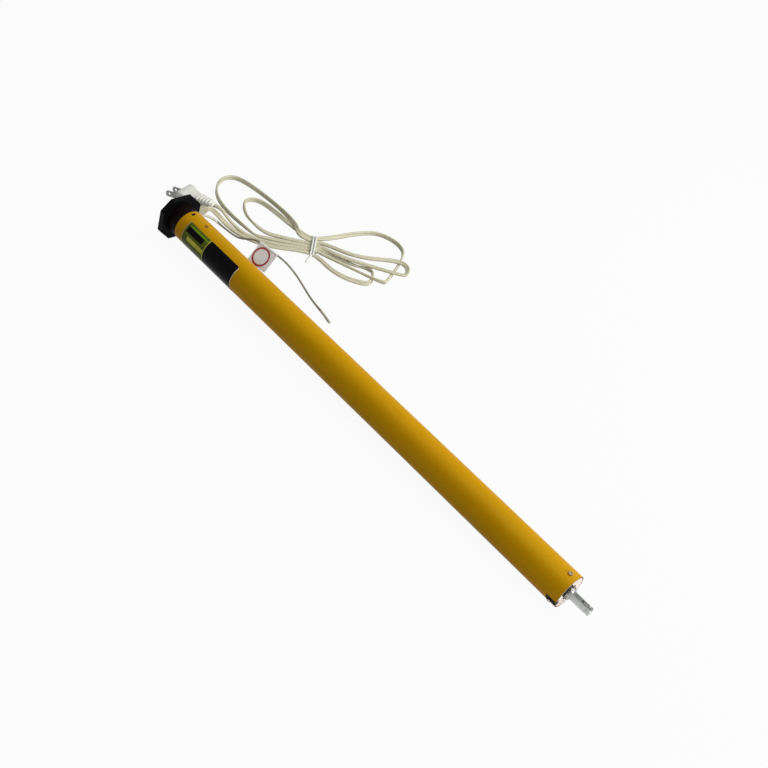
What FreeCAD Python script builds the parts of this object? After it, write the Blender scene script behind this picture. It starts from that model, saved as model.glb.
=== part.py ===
"""Tubular curtain motor: a round motor that turns a roller tube from the inside.

Every piece is modelled along +X in the motor's own frame, in millimetres. There x = 0 is the face
of the octagonal head that the tube stands against, and the motor's axis is y = z = 0. At the end
each piece of the motor is laid down on the table (z = 0), where it rests on the lower edge of its
head and on the rim of its tube, so its axis leans by about half a degree. The row's origin is the
middle of the motor's footprint. The power cord, the plug and the antenna lie on the same table.
"""

import FreeCAD, Part
import math
import os

from FreeCAD import Vector

# Motor tube
TUBE_R = 17.5
TUBE_WALL = 1.2
TUBE_LENGTH = 550.0
CLEAR = 0.05                   # radial clearance of the pieces seated in the tube

# Head: an octagonal plate, a neck for the crown ring and a spigot in the tube
HEAD_HALF = 23.6               # axis to each long flat
HEAD_CORNER = 25.2             # axis to each short flat
PLATE_THICK = 6.5
CROWN_LENGTH = 13.0
CROWN_WALL = 1.1
CROWN_PLAY = 0.25              # end play of the ring at each side
SPIGOT_LENGTH = 36.0
SPIGOT_WALL = 3.7
LEDGE_WALL = 4.9
COVER_THICK = 2.0
COVER_R = 16.3
COVER_GAP = 0.2
BRACKET_PCD = 41.0
BRACKET_HOLE_R = 1.7
BRACKET_HOLE_DEPTH = 4.5
KEY_WIDTH = 4.5
KEY_LENGTH = 3.0
KEY_FROM_END = 3.0
SEAL_AT = 9.0                  # from the tube's head end
SEAL_WIRE_R = 0.8
HEAD_SCREW_AT = 27.0           # from the tube's head end
SCREW_ANGLES = (90, 210, 330)
SCREW_SHANK_R = 1.25
SCREW_HEAD_R = 2.0
SCREW_GRIP = 4.0
PAN_HEAD_R = 2.1
PAN_HEAD_THICK = 0.9

# Setting button, its switch and the light on the small board in the head
BUTTON_Y = -6.0
BUTTON_R = 2.9
BUTTON_OUT = 1.0
BUTTON_STEM_R = 1.5
BUTTON_TRAVEL = 0.8
BUTTON_FLANGE_R = 3.8
LIGHT_Y = 6.0
LIGHT_R = 1.4
BOARD_THICK = 1.6
HEAD_BOARD_AT = 2.0
SWITCH_SIDE = 6.0
SWITCH_TALL = 2.4

# Electronics behind the head
TRAY_START = 4.0               # gap behind the spigot
TRAY_GAP = 14.5                # gap before the sensor board
TRAY_WALL = 1.1
TRAY_TOP = 2.0
BOARD_WIDTH = 26.0
BOARD_Z = -6.0
# Where each part starts on the control board and how far it runs, as shares of the board's length
BOARD_SHARES = {"receiver": (0.03, 0.014), "chip": (0.10, 0.13), "cans": (0.29, 0.055),
                "transformer": (0.48, 0.18), "relays": (0.70, 0.105)}
CHIP_SIDE = 10.0
CHIP_TALL = 2.4
RECEIVER_SIZE = (20.0, 12.0)
CAN_R = 3.1
CAN_TALL = 11.0
TRANSFORMER = (19.0, 16.0)
RELAY = (10.0, 12.0)
CAPACITOR_R = 11.0
CAPACITOR_LENGTH = 50.0

# Brake and motor
ENCODER_TO_MAGNET = 11.0       # sensor board to brake magnet
ENCODER_R = 6.0
ENCODER_THICK = 4.0
SHAFT_R = 3.0
RUNNING = 0.05                 # radial clearance of everything that turns on or in something
MAGNET_TO_STATOR = 45.0        # brake magnet to stator
BRAKE_MAGNET_THICK = 12.0
BRAKE_TRAVEL = 0.5
BRAKE_PLATE_THICK = 3.0
BRAKE_DISC_THICK = 3.0
BRAKE_DISC_R = 13.0
FACE_GAP = 0.1
REAR_SHIELD_THICK = 10.0
BEARING_R = 8.0
BEARING_THICK = 6.0
STATOR_LENGTH = 76.0
STATOR_TO_SHIELD = 18.0        # room for the end turns and their wires
STATOR_BORE_R = 9.2
ROTOR_R = 8.9
END_TURN = 10.0
SLOTS = 12
SLOT_IN_R = 10.2
SLOT_OUT_R = 13.8
SLOT_WIDTH = 2.6
FRONT_SHIELD_THICK = 10.0
SHIELD_TO_GEARBOX = 6.0

# Three planetary stages, all in one internal ring gear
MODULE = 0.65
PRESSURE = math.radians(25)
SUN_TEETH = 12
PLANET_TEETH = 15
RING_TEETH = SUN_TEETH + 2 * PLANET_TEETH
TOOTH_OUT = 0.46
TOOTH_IN = 0.72
TOOTH_THIN = 0.07
GEARBOX_ENTRY = 3.0            # ring gear's end to the first stage
STAGE_LENGTHS = (18.0, 18.0, 22.0)
CARRIER_THICK = (4.0, 4.5, 7.0)
CARRIER_R = 12.2
PIN_R = 1.45
STAGE_GAP = 0.5
PLANETS = 3

# Output end
HOUSING_LENGTH = 44.0          # gearbox to the tube's open end
HOUSING_BORE_R = 7.5
END_RING_THICK = 3.0
HUB_BAR_WIDTH = 13.0
HUB_BAR_ANGLE = 133.0
HUB_R = 8.0
HUB_REACH = 15.4
KEYWAY_WIDTH = 7.0
KEYWAY_LENGTH = 11.0
KEYWAY_ANGLE = 200.0
END_SCREW_AT = 7.5             # from the tube's open end
OUTPUT_R = 4.25                # outside the collar
OUTPUT_JOURNAL_R = 4.5         # in the carrier, the bush and the collar
OUTPUT_OUT = 24.5
OUTPUT_FLAT = 3.4              # axis to the flat
CROSS_HOLE_R = 1.25
CROSS_HOLE_AT = 14.2           # from the tube's open end
CLIP_GROOVE_FROM_TIP = 2.4
CLIP_GROOVE_WIDTH = 1.1
CLIP_GROOVE_R = 3.1
COLLAR_R = 5.8
COLLAR_LENGTH = 3.6
COLLAR_GAP = 0.2

# Rating label, a skin on the tube
LABEL_FROM_END = 12.0
LABEL_LENGTH = 82.5
LABEL_THICK = 0.12
LABEL_GAP = 0.03
LABEL_FIRST = 115.0
LABEL_LAST = 250.0

# Cords and what is on them, lying on the table
CORD_R = 2.0
ANTENNA_R = 1.0
GLAND_Y = 12.0                 # how far the boot stands out of the head
GLAND_X = -2.55
GLAND_SLOT = (3.7, 13.6)
GLAND_SLOT_Z = -2.2
ANTENNA_Z = -6.5
PLUG_EXIT = (-12.5, 55.5, 16.5)
PLUG_HEADING = 200.0
PLUG_DIP = 11.0                # it rests on its front edge, and the cord holds its grip up
PLUG_ROLL = 4.0
PLUG_GRIP = 24.0
PLUG_BLOCK = 17.0
PLUG_SHOULDER = 11.0           # the part of the block that widens
PLUG_WIDE = 26.0
PLUG_THICK = 16.0
PLUG_CORNER = 0.2              # of the thickness
PLUG_RIBS = 5
BLADE_LENGTH = 17.5
BLADE_WIDTH = 6.35
BLADE_THICK = 1.5
BLADE_SPACING = 12.7
TAG_SIDE = 23.5
TAG_THICK = 0.5
TAG_SLEEVE = 0.5
TAG_DOWN = Vector(0.068, -0.677, -0.732)

# The hank: lobes fan out from the tie, on both its sides, and the waist lies along 45 degrees
TIE_X = 78.0
TIE_Y = 127.0
WAIST_HEADING = 45.0
SLOT_PITCH = 5.6
TIE_HALF = 3.0
TIE_STRIP = 0.8
HANK_END = 8.0
WAIST_Z = 3.2
TABLE_Z = 2.2
FAN_R = 14.0
RAISED_FAN_R = 26.0
FAN_LEAN = 0.35
# Each lobe: heading, then (along, across, height) of its upper side, its tip and its lower side
LOBES = {
    "A": (5.0, (76.0, 45.0, 2.2), (105.5, 12.0, 2.2), (74.0, -44.0, 7.0)),
    "B": (-4.0, (98.0, 11.8, 7.6), (111.5, 0.0, 9.2), (95.0, -11.3, 9.3)),
    "C": (-31.0, (64.0, 9.5, 2.2), (81.0, 0.0, 2.2), (58.0, -18.0, 2.2)),
    "L1": (142.0, (100.0, 26.5, 5.6), (145.0, 4.0, 2.2), (68.0, -44.5, 2.2)),
    "L2": (150.0, (76.0, 22.5, 2.2), (98.5, 6.0, 2.2), (56.0, -24.0, 2.2)),
}
# The order in which one strand runs through the slots (1 is the uppermost) and the lobes
STRAND = (("C", 6, 4, 3.2), ("L1", 4, 2, 7.8), ("B", 2, 3, 3.2), ("L2", 3, 1, 3.2), ("A", 1, 5, 3.2))

# Routes on the table, from the head face: points chosen along the cords as they lie
LEAD_ROUTE = [(-2.5, 42.2, 23.3), (0.8, 48.6, 16.6), (4.0, 53.6, 10.5), (10.5, 58.2, 5.0),
              (23.0, 61.6, 2.3), (38.5, 67.5, 2.2), (51.5, 76.0, 2.2), (62.5, 87.0, 2.2)]
TAIL_ROUTE = [(57.0, 90.0, 2.2), (42.0, 75.5, 2.2), (28.0, 69.0, 2.2), (14.0, 66.0, 3.8),
              (4.0, 63.0, 8.5), (-4.9, 58.3, 18.0)]
HANK_LEAD_IN = 14.0
ANTENNA_ROUTE = [(-2.3, 32.3, 17.0), (-1.5, 41.1, 13.0), (2.4, 49.2, 7.0), (11.5, 54.0, 2.6),
                 (23.5, 56.5, 1.6), (34.0, 57.5, 3.4), (45.5, 59.2, 10.0), (57.5, 60.2, 17.0),
                 (91.0, 62.2, 18.8), (102.0, 67.0, 14.5), (115.0, 70.3, 8.0), (128.0, 70.3, 3.0),
                 (142.0, 67.0, 1.3), (156.0, 64.0, 1.1), (171.0, 61.7, 1.1), (186.0, 58.0, 1.1)]

# Worked out from the sizes above
TUBE_IN_R = TUBE_R - TUBE_WALL
CORE_R = TUBE_IN_R - CLEAR
TUBE_START = CROWN_LENGTH + 2 * CROWN_PLAY
TUBE_END = TUBE_START + TUBE_LENGTH
SPIGOT_END = TUBE_START + SPIGOT_LENGTH
SHAFT_TIP = TUBE_END + OUTPUT_OUT
HEAD_FRONT = -PLATE_THICK
TILT = math.atan((HEAD_HALF - TUBE_R) / TUBE_END)
LIFT = HEAD_HALF * math.cos(TILT)
SHIFT = -(HEAD_FRONT - BUTTON_OUT + SHAFT_TIP) / 2 * math.cos(TILT)
X_AXIS = Vector(1, 0, 0)

# The drive train is placed from the tube's open end, and the tray takes the room that is left
GEARBOX_LENGTH = GEARBOX_ENTRY + sum(STAGE_LENGTHS) + sum(CARRIER_THICK) + 2 * STAGE_GAP * len(STAGE_LENGTHS)
GEARBOX_AT = TUBE_END - HOUSING_LENGTH - GEARBOX_LENGTH
FRONT_SHIELD_AT = GEARBOX_AT - SHIELD_TO_GEARBOX - FRONT_SHIELD_THICK
STATOR_AT = FRONT_SHIELD_AT - STATOR_TO_SHIELD - STATOR_LENGTH
BRAKE_MAGNET_AT = STATOR_AT - MAGNET_TO_STATOR
ENCODER_AT = BRAKE_MAGNET_AT - ENCODER_TO_MAGNET
TRAY_LENGTH = ENCODER_AT - TRAY_GAP - SPIGOT_END - TRAY_START
BOARD_START = SPIGOT_END + TRAY_START + 2
BOARD_LENGTH = TRAY_LENGTH - CAPACITOR_LENGTH - 14


def rod(radius, start, end, y=0.0, z=0.0):
    """A round solid along X."""
    return Part.makeCylinder(radius, end - start, Vector(start, y, z), X_AXIS)


def pipe(outer, inner, start, end):
    """A round tube along X."""
    return rod(outer, start, end).cut(rod(inner, start - 1, end + 1))


def block(x0, x1, y0, y1, z0, z1):
    return Part.makeBox(x1 - x0, y1 - y0, z1 - z0, Vector(x0, y0, z0))


def turned(shape, degrees):
    """A copy turned about the motor's axis."""
    copy = shape.copy()
    copy.rotate(Vector(0, 0, 0), X_AXIS, degrees)
    return copy


def radial_rod(radius, inner, outer, x, degrees):
    """A round solid that points away from the axis; 0 degrees is +Y and 90 is up."""
    return turned(Part.makeCylinder(radius, outer - inner, Vector(x, inner, 0), Vector(0, 1, 0)), degrees)


def prism(points, start, end):
    """A solid along X from an outline of (y, z) points."""
    corners = [Vector(start, y, z) for y, z in points]
    face = Part.Face(Part.makePolygon(corners + corners[:1]))
    return face.extrude(Vector(end - start, 0, 0))


def seat(shape):
    """Lay a piece of the motor down on the table."""
    copy = shape.copy()
    copy.rotate(Vector(0, 0, 0), Vector(0, 1, 0), math.degrees(TILT))
    copy.translate(Vector(SHIFT, 0, LIFT))
    return copy


def seat_point(x, y, z):
    return seat(Part.Vertex(Vector(x, y, z))).Point


def on_table(point):
    return Vector(point[0] + SHIFT, point[1], point[2])


# Head

def octagon():
    """Long flats face +Y, -Y, up and down, and short ones lie between them."""
    half = HEAD_CORNER * math.sqrt(2) - HEAD_HALF
    corners = [(HEAD_HALF, half), (half, HEAD_HALF)]
    return [(y * math.cos(a) - z * math.sin(a), y * math.sin(a) + z * math.cos(a))
            for a in (0, math.pi / 2, math.pi, 3 * math.pi / 2) for y, z in corners]


def cover_screw_points():
    ring = COVER_R - SCREW_HEAD_R + 0.2
    return [(0, ring), (0, -ring)]


def head_body():
    body = prism(octagon(), HEAD_FRONT, 0)
    body = body.fuse(rod(CORE_R, 0, SPIGOT_END))
    cavity = CORE_R - SPIGOT_WALL
    body = body.cut(rod(COVER_R + COVER_GAP, HEAD_FRONT - 1, HEAD_FRONT + COVER_THICK))
    body = body.cut(rod(cavity, HEAD_FRONT, HEAD_BOARD_AT + BOARD_THICK))
    body = body.cut(rod(CORE_R - LEDGE_WALL, HEAD_FRONT, SPIGOT_END + 1))
    seal_x = TUBE_START + SEAL_AT
    groove = pipe(TUBE_R, TUBE_IN_R - 2 * SEAL_WIRE_R - CLEAR, seal_x - SEAL_WIRE_R - 0.1, seal_x + SEAL_WIRE_R + 0.1)
    body = body.cut(groove)
    for angle in SCREW_ANGLES:
        body = body.cut(radial_rod(SCREW_SHANK_R, CORE_R - SCREW_GRIP, TUBE_R, TUBE_START + HEAD_SCREW_AT, angle))
    for y, z in cover_screw_points():
        body = body.cut(rod(SCREW_SHANK_R, HEAD_FRONT, 3.0, y, z))
    for quarter in range(4):
        hole = rod(BRACKET_HOLE_R, HEAD_FRONT - 1, HEAD_FRONT + BRACKET_HOLE_DEPTH, BRACKET_PCD / 2, 0)
        body = body.cut(turned(hole, 45 + 90 * quarter))
    body = body.cut(gland_slot())
    key_x = TUBE_START + KEY_FROM_END
    key = block(key_x, key_x + KEY_LENGTH, -KEY_WIDTH / 2, KEY_WIDTH / 2, CORE_R - 1, TUBE_R - 0.3)
    return body.fuse(key).removeSplitter()


def gland_slot():
    wide, tall = GLAND_SLOT
    return block(GLAND_X - wide / 2, GLAND_X + wide / 2, CORE_R - SPIGOT_WALL - 1, HEAD_HALF + 1,
                 GLAND_SLOT_Z - tall / 2, GLAND_SLOT_Z + tall / 2)


def cord_gland():
    """A rubber gland: a plug in the head's side wall, a flange outside it and a tapered boot."""
    wide, tall = GLAND_SLOT
    play = 0.05
    body = block(GLAND_X - wide / 2 + play, GLAND_X + wide / 2 - play, CORE_R - SPIGOT_WALL + 0.5,
                 HEAD_HALF, GLAND_SLOT_Z - tall / 2 + play, GLAND_SLOT_Z + tall / 2 - play)
    flange = block(GLAND_X - wide / 2 - 0.9, GLAND_X + wide / 2 + 0.6, HEAD_HALF, HEAD_HALF + 1.6,
                   GLAND_SLOT_Z - tall / 2 - 1, GLAND_SLOT_Z + tall / 2 + 1)
    boot = boot_loft(HEAD_HALF + 1.6, HEAD_HALF + GLAND_Y)
    nib = Part.makeCylinder(1.8, 3.6, Vector(GLAND_X, HEAD_HALF, ANTENNA_Z), Vector(0, 1, 0))
    return body.fuse(flange).fuse(boot).fuse(nib).removeSplitter()


def boot_loft(start, end):
    sections = []
    for y, wide, tall in ((start, 4.9, 8.0), (end, 4.6, 6.2)):
        corners = [Vector(GLAND_X + sx * wide / 2, y, sz * tall / 2) for sx, sz in
                   ((-1, -1), (1, -1), (1, 1), (-1, 1))]
        sections.append(Part.makePolygon(corners + corners[:1]))
    return Part.makeLoft(sections, True, True)


def head_cover():
    cover = rod(COVER_R, HEAD_FRONT, HEAD_FRONT + COVER_THICK)
    cover = cover.cut(rod(BUTTON_R + RUNNING, HEAD_FRONT - 1, 0, BUTTON_Y, 0))
    cover = cover.cut(rod(LIGHT_R, HEAD_FRONT - 1, 0, LIGHT_Y, 0))
    for y, z in cover_screw_points():
        cover = cover.cut(rod(SCREW_SHANK_R + 0.1, HEAD_FRONT - 1, 0, y, z))
        cover = cover.cut(rod(SCREW_HEAD_R - 0.1, HEAD_FRONT - 1, HEAD_FRONT + 1.0, y, z))
    return cover


def cover_screws():
    screws = []
    for y, z in cover_screw_points():
        head = rod(SCREW_HEAD_R - 0.15, HEAD_FRONT + 0.1, HEAD_FRONT + 1.0, y, z)
        slot = block(HEAD_FRONT - 1, HEAD_FRONT + 0.5, y - 1.4, y + 1.4, z - 0.25, z + 0.25)
        cross = block(HEAD_FRONT - 1, HEAD_FRONT + 0.5, y - 0.25, y + 0.25, z - 1.4, z + 1.4)
        screws.append(head.cut(slot).cut(cross).fuse(rod(SCREW_SHANK_R, HEAD_FRONT + 1.0, 3.0, y, z)))
    return Part.makeCompound(screws)


def head_seal():
    centre_r = TUBE_IN_R - SEAL_WIRE_R - CLEAR / 2
    return Part.makeTorus(centre_r, SEAL_WIRE_R, Vector(TUBE_START + SEAL_AT, 0, 0), X_AXIS)


def crown_ring():
    """A plain ring that turns on the head's neck, so the roller tube can turn round the fixed head."""
    outer = CORE_R + RUNNING + CROWN_WALL
    return pipe(outer, CORE_R + RUNNING, CROWN_PLAY, CROWN_PLAY + CROWN_LENGTH)


def countersunk(x, angle):
    """A screw whose head lies flush in the tube's wall."""
    shank = radial_rod(SCREW_SHANK_R, CORE_R - SCREW_GRIP + 0.1, TUBE_IN_R, x, angle)
    head = radial_rod(SCREW_HEAD_R, TUBE_IN_R, TUBE_R + 1, x, angle)
    driver = radial_rod(0.8, TUBE_R - 0.6, TUBE_R + 1, x, angle)
    return shank.fuse(head).cut(driver).common(rod(TUBE_R - 0.1, x - 5, x + 5))


def pan_head(x, angle):
    """A screw whose head stands on the tube."""
    shank = radial_rod(SCREW_SHANK_R, CORE_R - SCREW_GRIP + 0.1, TUBE_R + 0.2, x, angle)
    head = radial_rod(PAN_HEAD_R, TUBE_R - 0.1, TUBE_R + PAN_HEAD_THICK, x, angle)
    bed = rod(TUBE_R, x - 5, x + 5)
    slot = turned(block(x - 1.3, x + 1.3, TUBE_R + 0.3, TUBE_R + 2, -0.25, 0.25), angle)
    cross = turned(block(x - 0.25, x + 0.25, TUBE_R + 0.3, TUBE_R + 2, -1.3, 1.3), angle)
    return head.cut(bed).cut(slot).cut(cross).fuse(shank).removeSplitter()


def set_button():
    inner = HEAD_FRONT + COVER_THICK
    cap = rod(BUTTON_R, HEAD_FRONT - BUTTON_OUT, inner + 0.1, BUTTON_Y, 0)
    flange = rod(BUTTON_FLANGE_R, inner + 0.1, inner + 1.1, BUTTON_Y, 0)
    stem = rod(BUTTON_STEM_R, inner + 1.1, HEAD_BOARD_AT - SWITCH_TALL + 0.6, BUTTON_Y, 0)
    return cap.fuse(flange).fuse(stem).removeSplitter()


def button_switch():
    """A push switch on the head's board; the button's stem works in its well."""
    half = SWITCH_SIDE / 2
    box = block(HEAD_BOARD_AT - SWITCH_TALL, HEAD_BOARD_AT, BUTTON_Y - half, BUTTON_Y + half, -half, half)
    return box.cut(rod(BUTTON_STEM_R + RUNNING, HEAD_BOARD_AT - SWITCH_TALL - 1, HEAD_BOARD_AT - 0.6, BUTTON_Y, 0))


def status_light():
    pipe_part = rod(LIGHT_R - 0.05, HEAD_FRONT, HEAD_BOARD_AT - 1.5, LIGHT_Y, 0)
    return pipe_part.fuse(rod(2.0, HEAD_BOARD_AT - 1.5, HEAD_BOARD_AT, LIGHT_Y, 0)).removeSplitter()


def head_board():
    board = rod(CORE_R - SPIGOT_WALL - 0.1, HEAD_BOARD_AT, HEAD_BOARD_AT + BOARD_THICK)
    return board.cut(block(0, 9, -4, 4, 6, 14))


# Tube

def motor_tube():
    tube = pipe(TUBE_R, TUBE_IN_R, TUBE_START, TUBE_END)
    for angle in SCREW_ANGLES:
        tube = tube.cut(radial_rod(SCREW_HEAD_R + 0.1, 5, 20, TUBE_START + HEAD_SCREW_AT, angle))
        tube = tube.cut(radial_rod(SCREW_SHANK_R + 0.1, 5, 20, TUBE_END - END_SCREW_AT, angle))
    key_x = TUBE_START + KEY_FROM_END
    window = block(key_x - 0.1, key_x + KEY_LENGTH + 0.1, -KEY_WIDTH / 2 - 0.1, KEY_WIDTH / 2 + 0.1, 5, 20)
    return tube.cut(window).cut(keyway(0.1))


def keyway(play):
    """The open slot at the tube's output end, or the key that stands in it."""
    half = KEYWAY_WIDTH / 2 + play
    slot = block(TUBE_END - KEYWAY_LENGTH - play, TUBE_END + 1, 5, 20, -half, half)
    return turned(slot, KEYWAY_ANGLE)


def rating_label():
    start = TUBE_START + LABEL_FROM_END
    skin = pipe(TUBE_R + LABEL_THICK + LABEL_GAP, TUBE_R + LABEL_GAP, start, start + LABEL_LENGTH)
    outer = 2 * TUBE_R
    steps = 9
    span = math.radians(LABEL_LAST - LABEL_FIRST)
    fan = [(0.0, 0.0)]
    for i in range(steps + 1):
        angle = math.radians(LABEL_FIRST) + span * i / steps
        fan.append((outer * math.cos(angle), outer * math.sin(angle)))
    return skin.common(prism(fan, start - 1, start + LABEL_LENGTH + 1))


# Electronics

def board_tray():
    start = SPIGOT_END + TRAY_START
    end = start + TRAY_LENGTH
    shell = pipe(CORE_R, CORE_R - TRAY_WALL, start, end)
    shell = shell.common(block(start, end, -20, 20, -20, TRAY_TOP))
    rail_x = start + BOARD_LENGTH + 4
    for side in (-1, 1):
        near, far = sorted((side * 11.0, side * 14.0))
        rail = block(start, rail_x, near, far, BOARD_Z - BOARD_THICK - 1.6, BOARD_Z - BOARD_THICK)
        shell = shell.fuse(rail.common(rod(CORE_R - TRAY_WALL / 2, start, end)))
    cradle_x = rail_x + 4
    for x in (cradle_x, cradle_x + CAPACITOR_LENGTH - 6):
        saddle = rod(CORE_R - TRAY_WALL / 2, x, x + 5).cut(rod(CAPACITOR_R + 0.05, x - 1, x + 6))
        shell = shell.fuse(saddle.common(block(x, x + 5, -20, 20, -20, TRAY_TOP)))
    end_stop = pipe(CORE_R, CAPACITOR_R, end - 2, end)
    return shell.fuse(end_stop).removeSplitter()


def board_place(name):
    """Where a part on the control board starts, and its length."""
    start, run = BOARD_SHARES[name]
    return BOARD_START + start * BOARD_LENGTH, run * BOARD_LENGTH


def on_board(name, wide, tall):
    x, run = board_place(name)
    return block(x, x + run, -wide / 2, wide / 2, BOARD_Z, BOARD_Z + tall)


def control_board():
    half = BOARD_WIDTH / 2
    board = block(BOARD_START, BOARD_START + BOARD_LENGTH, -half, half, BOARD_Z - BOARD_THICK, BOARD_Z)
    board = board.fuse(on_board("chip", CHIP_SIDE, CHIP_TALL)).fuse(on_board("receiver", *RECEIVER_SIZE))
    x, pitch = board_place("cans")
    for i in range(3):
        can = Part.makeCylinder(CAN_R, CAN_TALL, Vector(x + pitch * (i + 0.5), 2 * CAN_R, BOARD_Z), Vector(0, 0, 1))
        board = board.fuse(can)
    return board.removeSplitter()


def power_transformer():
    """Laminations with a window, and the coil's bobbin in it."""
    wide, tall = TRANSFORMER
    x, run = board_place("transformer")
    lip = run / 5
    core = on_board("transformer", wide, tall)
    window = block(x + lip, x + run - lip, -wide, wide, BOARD_Z + 3, BOARD_Z + tall - 3)
    bobbin = block(x + lip, x + run - lip, -wide / 2 - 1, wide / 2 + 1, BOARD_Z + 3, BOARD_Z + tall - 3)
    return core.cut(window).fuse(bobbin).removeSplitter()


def direction_relays():
    wide, tall = RELAY
    first = on_board("relays", wide, tall)
    second = first.copy()
    second.translate(Vector(1.15 * board_place("relays")[1], 0, 0))
    return Part.makeCompound([first, second])


def run_capacitor():
    start = BOARD_START + BOARD_LENGTH + 5
    can = rod(CAPACITOR_R, start, start + CAPACITOR_LENGTH)
    can = can.makeFillet(1.2, [e for e in can.Edges if e.BoundBox.XLength < 0.1])
    for z in (-3, 3):
        can = can.fuse(block(start - 4, start + 1, -1.5, 1.5, z - 0.4, z + 0.4))
    return can.removeSplitter()


# Brake, bearings and motor

def sensor_board():
    return pipe(CORE_R, 2.0, ENCODER_AT, ENCODER_AT + BOARD_THICK)


def encoder_magnet():
    start = ENCODER_AT + BOARD_THICK + 2
    return pipe(ENCODER_R, SHAFT_R, start, start + ENCODER_THICK)


SPRING_OUT_R = 6.8
SPRING_WIRE = 0.9
SPRING_TURNS = 4


def brake_plate_start():
    return BRAKE_MAGNET_AT + BRAKE_MAGNET_THICK + BRAKE_TRAVEL + 0.2


def brake_disc_start():
    return brake_plate_start() + BRAKE_PLATE_THICK + FACE_GAP


def rear_shield_start():
    return brake_disc_start() + BRAKE_DISC_THICK + FACE_GAP


def brake_magnet():
    body = pipe(CORE_R, SHAFT_R + 1, BRAKE_MAGNET_AT, BRAKE_MAGNET_AT + BRAKE_MAGNET_THICK)
    pocket = pipe(SPRING_OUT_R + 0.3, SHAFT_R + 0.8, BRAKE_MAGNET_AT + 4, BRAKE_MAGNET_AT + BRAKE_MAGNET_THICK + 1)
    return body.cut(pocket)


def brake_plate():
    start = brake_plate_start()
    plate = pipe(14.5, SHAFT_R + 1, start, start + BRAKE_PLATE_THICK)
    for side in (0, 180):
        tab = turned(block(start, start + BRAKE_PLATE_THICK, 13.5, CORE_R - 0.2, -2, 2), side)
        plate = plate.fuse(tab)
    return plate.removeSplitter()


def brake_disc():
    start = brake_disc_start()
    return pipe(BRAKE_DISC_R, SHAFT_R, start, start + BRAKE_DISC_THICK)


def rear_end_shield():
    start = rear_shield_start()
    end = start + REAR_SHIELD_THICK
    shield = pipe(CORE_R, SHAFT_R + 1, start, end)
    return shield.cut(rod(BEARING_R, end - BEARING_THICK, end + 1))


def rear_bearing():
    end = rear_shield_start() + REAR_SHIELD_THICK
    return pipe(BEARING_R, SHAFT_R + RUNNING, end - BEARING_THICK, end)


def front_end_shield():
    shield = pipe(CORE_R, SHAFT_R + 1, FRONT_SHIELD_AT, FRONT_SHIELD_AT + FRONT_SHIELD_THICK)
    return shield.cut(rod(BEARING_R, FRONT_SHIELD_AT - 1, FRONT_SHIELD_AT + BEARING_THICK))


def front_bearing():
    return pipe(BEARING_R, SHAFT_R + RUNNING, FRONT_SHIELD_AT, FRONT_SHIELD_AT + BEARING_THICK)


def slot_bars(start, end, play):
    bars = []
    for i in range(SLOTS):
        half = SLOT_WIDTH / 2 + play
        bar = block(start, end, SLOT_IN_R - play, SLOT_OUT_R + play, -half, half)
        bars.append(turned(bar, 360 * (i + 0.5) / SLOTS))
    return bars


def stator_core():
    core = pipe(CORE_R, STATOR_BORE_R, STATOR_AT, STATOR_AT + STATOR_LENGTH)
    for bar in slot_bars(STATOR_AT - 1, STATOR_AT + STATOR_LENGTH + 1, 0.05):
        core = core.cut(bar)
    return core


def stator_windings():
    """Copper in the slots, joined by the end turns at both ends."""
    end = STATOR_AT + STATOR_LENGTH
    rear = pipe(SLOT_OUT_R + 1.2, SLOT_IN_R - 0.4, STATOR_AT - END_TURN, STATOR_AT - 0.2)
    front = pipe(SLOT_OUT_R + 1.2, SLOT_IN_R - 0.4, end + 0.2, end + END_TURN)
    coil = rear.fuse(front)
    for bar in slot_bars(STATOR_AT - 1, end + 1, 0):
        coil = coil.fuse(bar)
    return coil.removeSplitter()


def rotor_core():
    inset = 1.0
    return pipe(ROTOR_R, SHAFT_R, STATOR_AT + inset, STATOR_AT + STATOR_LENGTH - inset)


PINION_BORE_R = 1.8


def rotor_shaft():
    start = ENCODER_AT + BOARD_THICK + 2
    return rod(SHAFT_R, start, FRONT_SHIELD_AT + FRONT_SHIELD_THICK + 1).fuse(
        rod(PINION_BORE_R, FRONT_SHIELD_AT + FRONT_SHIELD_THICK, stage_start(0) + STAGE_LENGTHS[0])).removeSplitter()


# Gears

def involute(base_r, radius):
    tangent = math.sqrt(max((radius / base_r) ** 2 - 1, 0))
    return tangent - math.atan(tangent)


def gear_outline(teeth, out, inward, thin):
    """Points of a gear with a tooth centred on +Y; its flanks are involutes of three chords."""
    pitch_r = MODULE * teeth / 2
    base_r = pitch_r * math.cos(PRESSURE)
    root_r = pitch_r - inward
    start_r = max(base_r * 1.0005, root_r)
    half = math.pi / (2 * teeth) - thin / pitch_r + involute(base_r, pitch_r)
    radii = [start_r + (pitch_r + out - start_r) * i / 3 for i in range(4)]
    flank = [(r, half - involute(base_r, r)) for r in radii]
    if root_r < start_r:
        flank.insert(0, (root_r, flank[0][1]))
    outline = []
    for tooth in range(teeth):
        mid = 2 * math.pi * tooth / teeth
        sides = [(r, mid - a) for r, a in flank] + [(r, mid + a) for r, a in reversed(flank)]
        outline += [(r * math.cos(a), r * math.sin(a)) for r, a in sides]
    return outline


def stage_start(stage):
    start = GEARBOX_AT + GEARBOX_ENTRY
    for i in range(stage):
        start += STAGE_LENGTHS[i] + CARRIER_THICK[i] + 2 * STAGE_GAP
    return start


def sun(start, end):
    return prism(gear_outline(SUN_TEETH, TOOTH_OUT, TOOTH_IN, TOOTH_THIN), start, end)


def centre_distance():
    return MODULE * (SUN_TEETH + PLANET_TEETH) / 2


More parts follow.
